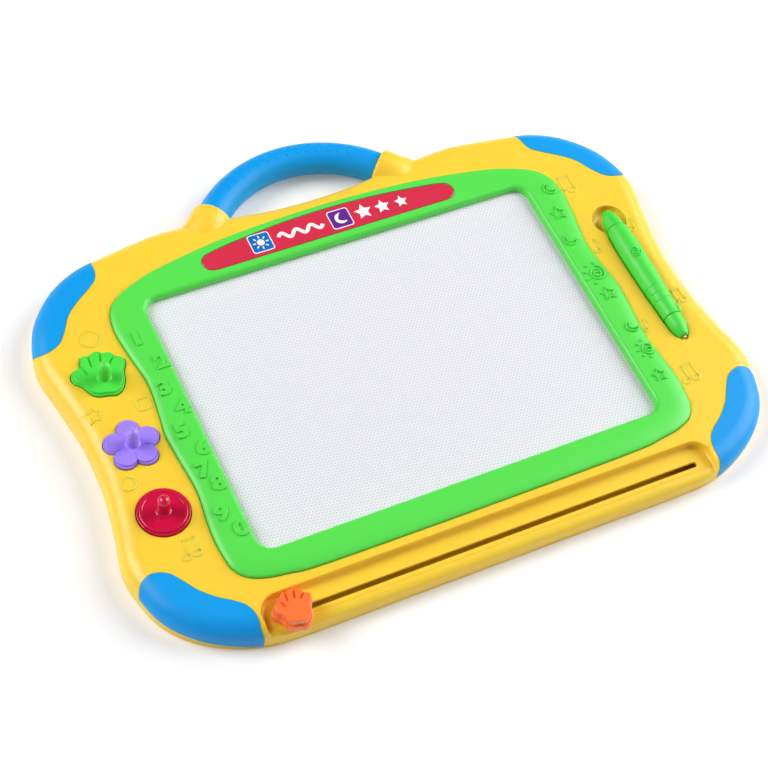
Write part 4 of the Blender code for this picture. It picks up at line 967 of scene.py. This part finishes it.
def buildPen():
    tipSeat = noseShares[0][1] * pen["length"]
    joint = noseShares[-1][1] * pen["length"]
    reach = penLook["spigotLength"]
    radius = pen["tipRadius"]
    stem = radius * 2 / 3
    stemEnd = tipSeat + reach / 2
    tip = [(0, 0), *arc(0, radius, radius, -70, 0, 6), (radius, tipSeat - gap), (stem, tipSeat - gap),
           (stem, stemEnd), (0, stemEnd)]
    addPiece("penNib", alongPen(turned(tip, 32)), "nib_steel", "pen_magnet_tip", body="pen")

    spigot = penLook["spigot"]
    edge = penLook["seamEdge"]
    nose = smoothProfile(penPoints(noseShares), 6)
    addPenPiece("penNose", [
        (0, stemEnd + gap), (stem + gap, stemEnd + gap), (stem + gap, tipSeat), *nose[:-1],
        (nose[-1][0], joint - edge), (nose[-1][0] - edge, joint),
        (spigot, joint), (spigot, joint + reach), (0, joint + reach)], "pen_nose")

    barrel = smoothProfile(penPoints(barrelShares), 8)
    (footRadius, foot), (headRadius, head) = barrel[0], barrel[-1]
    half = penLook["ringWidth"] / 2
    rings = [share * pen["length"] for share in penLook["ringShares"]]
    outside = [(r, z) for r, z in barrel if all(abs(z - at) > half * 1.6 for at in rings)]
    for at in rings:
        radius = radiusAt(barrel, at)
        outside += [(radius - penLook["ringDepth"] * deep, at + half * along)
                    for deep, along in ((0, -1), (0.8, -0.5), (1, 0), (0.8, 0.5), (0, 1))]
    outside = sorted(outside, key=lambda point: point[1])[1:-1]
    stub = head + reach * 2 / 3
    lugAt = penLook["lugShare"] * pen["length"]
    wide = penLook["lugRadius"]
    lug = turned([(0, -wide), *arc(0, 0, wide, -60, 80, 12), (0, wide)], 32)
    place = (Matrix.Translation((pen["x"], pen["tip"] + lugAt, penAxis))
             @ Matrix.Rotation(penLook["lugTurn"], 4, "Y")
             @ Matrix.Translation((0, 0, radiusAt(barrel, lugAt) - penLook["lugSunk"]))
             @ Matrix.Diagonal((1, penLook["lugLong"], 1, 1)))
    addPenPiece("penBarrel", [
        (0, foot + reach), (spigot + gap, foot + reach), (spigot + gap, foot), (footRadius - edge, foot),
        (footRadius, foot + edge), *outside, (headRadius, head - edge), (headRadius - edge, head),
        (spigot, head), (spigot, stub), (0, stub)], "pen_barrel", ("UNION", moved(lug, place)))

    cap = smoothProfile(penPoints(capShares) + [(0, pen["length"])], 6)
    capRadius, capFoot = cap[0]
    addPenPiece("penCap", [
        (0, stub + gap), (spigot + gap, stub + gap), (spigot + gap, capFoot), (capRadius - edge, capFoot),
        (capRadius, capFoot + edge), *((max(r, 0), z) for r, z in cap[1:])], "pen_end_cap")


buildPen()
print("pen ready")


# Eraser knob

knob = lengths(radius=12.3, setback=1.2, height=10.4, base=4.8, step=1.3, edge=0.7, footEdge=0.3, neckHalf=6,
               endMargin=2.2, prong=3, barb=1, barbHeight=1.7, slitDepth=1.3, slitWidth=1.3)


def buildKnob():
    x = -(slotHalf - knob["neckHalf"] - knob["endMargin"])
    y = slotY - knob["setback"]
    foot = ledgeZ + gap
    top = foot + knob["height"]
    base = foot + knob["base"]
    step, edge = knob["step"], knob["edge"]
    profile = [(-knob["footEdge"], foot), (0, foot + knob["footEdge"]), *roundedTop(0, base, edge),
               (-step, base), (-step, top - edge), *roundedTop(-step, top, edge)[1:]]
    slits = fingerSlits(x, y, knob["radius"], top, knob["slitDepth"], knob["slitWidth"])
    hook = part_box("eraser_carrier")[0].z - gap
    halfWidth = slot["width"] / 2 - gap
    outer = knob["neckHalf"]
    inner = outer - knob["prong"]
    section = [(inner, foot + past), (inner, hook - knob["barbHeight"]), (outer, hook - knob["barbHeight"]),
               (outer + knob["barb"], hook), (outer, hook), (outer, foot + past)]
    prongs = [moved(prism(anticlockwise([Vector((x + side * u, v)) for u, v in section]),
                          -slotY - halfWidth, -slotY + halfWidth), axes((1, 0, 0), (0, 0, 1), (0, -1, 0)))
              for side in (-1, 1)]
    shape = combined(figure(handOutline, knob["radius"], x, y, profile),
                     ("DIFFERENCE", slits), ("UNION", *prongs))
    addPiece("eraserHandKnob", shape, "knob_orange", "eraser_knob", body="eraser")
    coat(materials["acetal"], "eraser_carrier")
    coat(materials["magnet_black"], "eraser_magnet")


buildKnob()
print("eraser ready")


# Raised signs: plain figures, moons, stars, spirals, notes and simple shapes

signs = lengths(
    digitSize=13.8, digitBold=0.3, height=0.85, round=0.35, lowHeight=0.3, edge=0.2, sunk=0.8, line=1.5,
    fineLine=0.975, headLine=1.2, beamLine=1.95, sunLine=1.15, squareCorner=1.2, swirl=4.1, swirlLine=0.9) | {
    "digitWide": 1.15, "swirlShare": 0.63, "swirlRoll": radians(-9)}
# Places and sizes of the signs in millimetres
digitPlaces = {
    "1": (-143, 66.7), "2": (-135.5, 46.6), "3": (-141, 28.6), "4": (-135.5, 12.6), "5": (-142.5, -2.4),
    "6": (-135.5, -17.4), "7": (-141, -31.4), "8": (-136, -42.4), "9": (-142, -61.4), "0": (-135.5, -74.4),
}
moons = ((145, 82, 4.2, 30), (138, 41, 4.4, 50), (143, -32, 4, 40))  # middle, radius, turn
stars = ((141, 62, 5), (141, -5, 4.8), (141, -70, 4.6))
suns = ((141.4, 11.5, 5.8, 2.2, 80), (144, -50, 4.4, 1.8, 100))  # middle, radius, windings, first ray
# Number of rays, degrees between them, and how far beyond the radius they start and end
sunRays = {"count": 5, "apart": 40, "ends": (1.3, 3)}
notes = (  # middle, size, whether two are joined, turn
    (-165, -73, 11, True, 4), (162, -73, 11, True, 4), (159, 84, 12, True, 0), (154, 33, 9, False, 5),
    (184, 40, 9, False, -10), (184, -20, 9, True, 5), (153, -32, 8, False, 0),
)
shapes = {"triangle": (-168, 79, 6), "square": (-155, 25, 4), "ring": (-183, -22, 4.4),
          "star": (-185, 28, 5.4)}
triangleTurns = (90, 160, 210, 270, 330, 20)
# Places in a note as shares of its size: stems, head's middle and half size, stem's ends, beam, flag
noteShares = {"stems": (-0.3, 0.3), "head": (-0.2, -0.45), "headHalf": (0.24, 0.17), "stem": (-0.4, 0.5),
              "beam": ((-0.34, 0.5), (0.34, 0.5)), "flag": ((0, 0.5), (0.2, 0.3), (0.3, 0.05))}


def digitShape(text, x, y):
    curve = bpy.data.curves.new("figure", "FONT")
    for name, value in {"body": text, "size": signs["digitSize"], "align_x": "CENTER", "align_y": "CENTER",
                        "offset": signs["digitBold"], "bevel_depth": signs["round"], "bevel_resolution": 2,
                        "extrude": (signs["height"] + signs["sunk"]) / 2 - signs["round"],
                        "resolution_u": 6}.items():
        setattr(curve, name, value)
    holder = linked("figure", curve)
    bpy.context.view_layer.update()
    mesh = bpy.data.meshes.new_from_object(holder.evaluated_get(bpy.context.evaluated_depsgraph_get()))
    shape = bmesh.new()
    shape.from_mesh(mesh)
    bmesh.ops.remove_doubles(shape, verts=shape.verts, dist=0.001 * mm)
    bpy.data.objects.remove(holder)
    bpy.data.curves.remove(curve)
    bpy.data.meshes.remove(mesh)
    moved(shape, Matrix.Diagonal((signs["digitWide"], 1, 1, 1)))
    return placed(shape, x * mm, y * mm, bezelTop + (signs["height"] - signs["sunk"]) / 2)


# A raised line along a closed loop
def outlineLoop(loop, z, width, rise):
    outer, inner = (grown(anticlockwise(loop), out) for out in (width / 2, -width / 2))
    edge = signs["edge"]
    low = z - signs["sunk"]
    high = z + rise
    return skinned([[(p.x, p.y, height) for p in ring] for ring, height in (
        (outer, low), (outer, high - edge), (grown(outer, -edge), high),
        (grown(inner, edge), high), (inner, high - edge), (inner, low))], False, True)


def starLoop(x, y, radius, inner=0.48, tips=5):
    return smoothLoop([roundPoint(x, y, radius * inner if i % 2 else radius, pi / 2 + pi * i / tips)
                       for i in range(tips * 2)], 2)


# Crescent whose outer arc spans 240 degrees; the inner one's depth is a share of the radius
def moonLoop(x, y, radius, turn, depth=0.95):
    loop = [roundPoint(x, y, radius, radians(turn + 60 + 240 * i / 12)) for i in range(13)]
    tipA, tipB = loop[0], loop[-1]
    away = direction(radians(turn + 180))
    for t in (i / 10 for i in range(1, 10)):
        loop.append(tipB + (tipA - tipB) * t + away * (4 * t * (1 - t) * radius * depth))
    return loop


def sideways(points, i):
    run = (points[min(i + 1, len(points) - 1)] - points[max(i - 1, 0)]).normalized()
    return Vector((-run.y, run.x))


# A raised line with a rounded back, along open points on the plan
def ribbon(points, z, width, rise):
    section = [(-0.5, -signs["sunk"]), (-0.5, rise * 0.4), (-0.3, rise * 0.85), (0, rise),
               (0.3, rise * 0.85), (0.5, rise * 0.4), (0.5, -signs["sunk"])]
    rows = []
    for i, point in enumerate(points):
        side = sideways(points, i)
        rows.append([(point.x + side.x * a * width, point.y + side.y * a * width, z + h) for a, h in section])
    return outwards(skinned(rows))


# A raised line that winds out from the middle, where it starts at a share of the radius
def spiralShape(x, y, radius, turns, z, width, start=0.12, pointsPerTurn=18):
    count = int(turns * pointsPerTurn)
    points = [roundPoint(x, y, radius * (start + (1 - start) * share), 2 * pi * turns * share)
              for share in (i / count for i in range(count + 1))]
    return ribbon(points, z, width, signs["height"])


# A music note, or two joined by a beam
def noteShapes(x, y, size, z, pair, turn):
    def bar(width, *points):
        line = [Vector((a * size, b * size)) for a, b in points]
        return ribbon(line, z, signs[width], signs["lowHeight"])

    share = noteShares
    headX, headY, wide, tall = (size * value for value in share["head"] + share["headHalf"])
    parts = []
    for stem in share["stems"] if pair else (0,):
        head = [Vector((stem * size + headX + wide * cos(a), headY + tall * sin(a)))
                for a in [2 * pi * i / 16 for i in range(16)]]
        parts += [outlineLoop(head, z, signs["headLine"], signs["lowHeight"]),
                  bar("line", *((stem, end) for end in share["stem"]))]
    parts.append(bar("beamLine", *share["beam"]) if pair else bar("line", *share["flag"]))
    place = Matrix.Translation((x, y, 0)) @ Matrix.Rotation(radians(turn), 4, "Z")
    return [moved(part, place) for part in parts]


# Wraps a flat shape, drawn round the origin, on to the pen's barrel
def onPen(shape, along, roll):
    barrel = penPoints(barrelShares)
    for vert in shape.verts:
        at = along + vert.co.y
        radius = radiusAt(barrel, at)
        angle = roll + vert.co.x / radius
        reach = radius + vert.co.z
        vert.co = (pen["x"] + reach * sin(angle), pen["tip"] + at,
                   penAxis + reach * cos(angle))
    return shape


def addSigns(name, parts, slotName, body="housing", sharp=50):
    addPiece(name, together(parts), slotName, body=body, sharp=sharp, weighted=False)


def buildSigns():
    digits = [digitShape(text, x, y) for text, (x, y) in digitPlaces.items()]
    addSigns("raisedFigures", digits, "bezel_green")

    z, rise = bezelTop, signs["height"]
    loops = [moonLoop(x * mm, y * mm, radius * mm, turn) for x, y, radius, turn in moons]
    loops += [starLoop(x * mm, y * mm, radius * mm) for x, y, radius in stars]
    right = [outlineLoop(loop, z, signs["fineLine"], rise) for loop in loops]
    for x, y, radius, turns, start in suns:
        middle = Vector((x, y)) * mm
        right.append(spiralShape(x * mm, y * mm, radius * mm, turns, z, signs["sunLine"]))
        for i in range(sunRays["count"]):
            out = direction(radians(start + sunRays["apart"] * i))
            ray = [middle + out * (radius + end) * mm for end in sunRays["ends"]]
            right.append(ribbon(ray, z, signs["sunLine"], rise))
    addSigns("raisedMoonsAndStars", right, "bezel_green")

    low = []
    for x, y, size, pair, turn in notes:
        low += noteShapes(x * mm, y * mm, size * mm, boardTop, pair, turn)
    places = {name: [value * mm for value in place] for name, place in shapes.items()}
    triangle = [roundPoint(*places["triangle"], radians(turn)) for turn in triangleTurns]
    x, y, half = places["square"]
    loops = (smoothLoop(triangle, 3), boxLoop(half, half, signs["squareCorner"], x, y, 4),
             roundLoop(*places["ring"], 32), starLoop(*places["star"], 0.58))
    low += [outlineLoop(loop, boardTop, signs["line"], signs["lowHeight"]) for loop in loops]
    swirl = spiralShape(0, 0, signs["swirl"], 2, 0, signs["swirlLine"])
    swirl = onPen(swirl, signs["swirlShare"] * pen["length"], signs["swirlRoll"])
    addSigns("raisedPenSwirl", [swirl], "stamp_green", "pen", 60)
    addSigns("raisedNotesAndShapes", low, "housing_yellow")


buildSigns()


# Plain printed motif on the label: two tiles with a sun and a crescent, a wave and three stars

motif = lengths(
    ink=0.08, sunk=0.05, up=9.6, rim=7.2, rimCorner=1.8, tile=6.5, tileCorner=1.4, waveStart=-34,
    waveLength=30, waveHeight=2.2, waveLine=2.5, rayStart=3.3, rayEnd=5.2, rayLine=0.9, sun=2.4, moon=4.2,
    moonAside=0.6) | {
    "waves": 3, "rays": 8,
    "tiles": (("blueTile", -46, "blueInk"), ("purpleTile", 8, "purpleInk")),
    "stars": ((24, 0, 6), (37, -0.4, 5.3), (50, -0.8, 4.6))}  # place and radius in millimetres


def printed(loop, layer=0):
    shape = prism(anticlockwise(loop), labelTop - motif["sunk"], labelTop + motif["ink"])
    return placed(shape, 0, 0, layer * motif["ink"])


def strokeLoop(points, width):
    sides = [sideways(points, i) * width / 2 for i in range(len(points))]
    left = [point + side for point, side in zip(points, sides)]
    return left + [point - side for point, side in zip(points, sides)][::-1]


def buildMotif():
    y = labelFront + motif["up"]
    for name, x, ink in motif["tiles"]:
        for layer, part, size, look in ((0, "Rim", "rim", "whiteInk"), (1, "", "tile", ink)):
            half = motif[size]
            shape = printed(boxLoop(half, half, motif[size + "Corner"], x * mm, y, 6), layer)
            addPiece(name + part, shape, "label_red", look=look, sharp=40)
    wave = [Vector((motif["waveStart"] + motif["waveLength"] * i / 40,
                    y + motif["waveHeight"] * sin(i / 40 * 2 * motif["waves"] * pi)))
            for i in range(41)]
    white = [printed(strokeLoop(wave, motif["waveLine"]))]
    white += [printed(starLoop(x * mm, y + up * mm, radius * mm, 0.5)) for x, up, radius in motif["stars"]]
    sunX, moonX = (x * mm for _, x, _ in motif["tiles"])
    white.append(printed(roundLoop(sunX, y, motif["sun"], 32), 2))
    for i in range(motif["rays"]):
        turn = 2 * pi * i / motif["rays"]
        ray = [roundPoint(sunX, y, motif[end], turn) for end in ("rayStart", "rayEnd")]
        white.append(printed(strokeLoop(ray, motif["rayLine"]), 2))
    white.append(printed(moonLoop(moonX + motif["moonAside"], y, motif["moon"], 20), 2))
    addPiece("whitePrint", together(white), "label_red", look="whiteInk", sharp=40, weighted=False)


buildMotif()
print("signs ready")


# Floor, light and camera

stage = {
    "floorHalf": 3, "floorColour": "#FFFFFF", "floorBounce": "#F0F0F0", "floorLift": 0.15,
    "floorRoughness": 0.9, "fibre": 2 * mm, "fibreDepth": 0.02 * mm,
    "horizon": 0.42, "zenith": 0.1, "heights": (0.15, 0.75),
    "darkSide": (0.1, 0.99, 0), "darkShare": 0.7, "darkSpread": (-0.1, 0.8),
    "lamps": (("leftSoftbox", 58, 1.8, (-1.77, 0.91, 1.66)), ("rightSoftbox", 81, 2.4, (2.2, -0.1, 1.38))),
}
camera = {"place": (-397 * mm, -568.8 * mm, 1001.5 * mm), "aim": (-16.8 * mm, -12.3 * mm, 0),
          "roll": radians(11.03), "lens": 94.81, "sensor": 36, "nearest": 0.05}


def buildFloor():
    half = stage["floorHalf"]
    corners = [(x * half, y * half, 0) for x, y in ((-1, -1), (1, -1), (1, 1), (-1, 1))]
    shape = bmesh.new()
    shape.faces.new([shape.verts.new(corner) for corner in corners])
    floor = linked("floor", meshOf(shape, "floor"))
    material, tree, shader, place = startMaterial("whitePaperSweep", {})
    fibres = addNode(tree, "TexNoise", {"Scale": 1 / stage["fibre"], "Detail": 2, "Vector": place}, "Fac")
    # Seen by the camera, or through a reflection, the sheet is lifted to white and keeps its shadow
    rays = addNode(tree, "LightPath", {}).node.outputs
    seen = rays["Is Camera Ray"]
    for mirrored in ("Is Glossy Ray", "Is Transmission Ray"):
        seen = addNode(tree, "Math", {0: seen, 1: rays[mirrored]}, operation="MAXIMUM")
    fill(tree, shader, {
        "Roughness": stage["floorRoughness"],
        "Base Color": addNode(tree, "Mix", {0: seen, 6: stage["floorBounce"], 7: stage["floorColour"]}, 2,
                              data_type="RGBA"),
        "Normal": addNode(tree, "Bump", {"Distance": stage["fibreDepth"], "Height": fibres})})
    white = addNode(tree, "Emission", {"Color": (1, 1, 1, 1), "Strength": 1})
    share = addNode(tree, "Math", {0: seen, 1: stage["floorLift"]}, operation="MULTIPLY")
    mix = addNode(tree, "MixShader", {0: share, 1: shader.outputs[0], 2: white})
    fill(tree, tree.nodes["Material Output"], {"Surface": mix})
    floor.data.materials.append(material)


# A room that is bright at the horizon, dim overhead and dark beyond the board's back, the side that
# its flat tops mirror to the camera
def buildSky():
    world = bpy.data.worlds.new("studio")
    bpy.context.scene.world = world
    world.use_nodes = True
    tree = world.node_tree
    tree.nodes.clear()
    aim = addNode(tree, "TexCoord", {}, "Generated")
    toDark = addNode(tree, "VectorMath", {0: aim, 1: stage["darkSide"]}, "Value", operation="DOT_PRODUCT")
    height = addNode(tree, "SeparateXYZ", {0: aim}, "Z")
    levels = []
    for value, (low, high), start, end in (
            (height, stage["heights"], stage["horizon"], stage["zenith"]),
            (toDark, stage["darkSpread"], 1, 1 - stage["darkShare"])):
        inputs = {"Value": value, "From Min": low, "From Max": high, "To Min": start, "To Max": end}
        levels.append(addNode(tree, "MapRange", inputs, interpolation_type="SMOOTHSTEP"))
    strength = addNode(tree, "Math", dict(enumerate(levels)), operation="MULTIPLY")
    room = addNode(tree, "Background", {"Color": (1, 1, 1, 1), "Strength": strength})
    fill(tree, tree.nodes.new("ShaderNodeOutputWorld"), {"Surface": room})


def addLamp(name, power, size, place):
    data = bpy.data.lights.new(name, "AREA")
    data.energy = power
    data.shape = "DISK"
    data.size = size
    lamp = linked(name, data)
    lamp.location = place
    lamp.rotation_euler = (-Vector(place)).to_track_quat("-Z", "Y").to_euler()


def buildCamera():
    data = bpy.data.cameras.new("camera")
    data.sensor_width = camera["sensor"]
    data.lens = camera["lens"]
    data.clip_start = camera["nearest"]
    viewer = linked("camera", data)
    place = Vector(camera["place"])
    viewer.location = Vector((0, screenY, screenTop)) + place
    viewer.rotation_mode = "QUATERNION"
    look = (Vector(camera["aim"]) - place).to_track_quat("-Z", "Y")
    viewer.rotation_quaternion = look @ Matrix.Rotation(camera["roll"], 3, "Z").to_quaternion()
    bpy.context.scene.camera = viewer


buildFloor()
buildSky()
for lamp in stage["lamps"]:
    addLamp(*lamp)
buildCamera()
bpy.context.scene.view_settings.view_transform = "Standard"
print("stage ready")
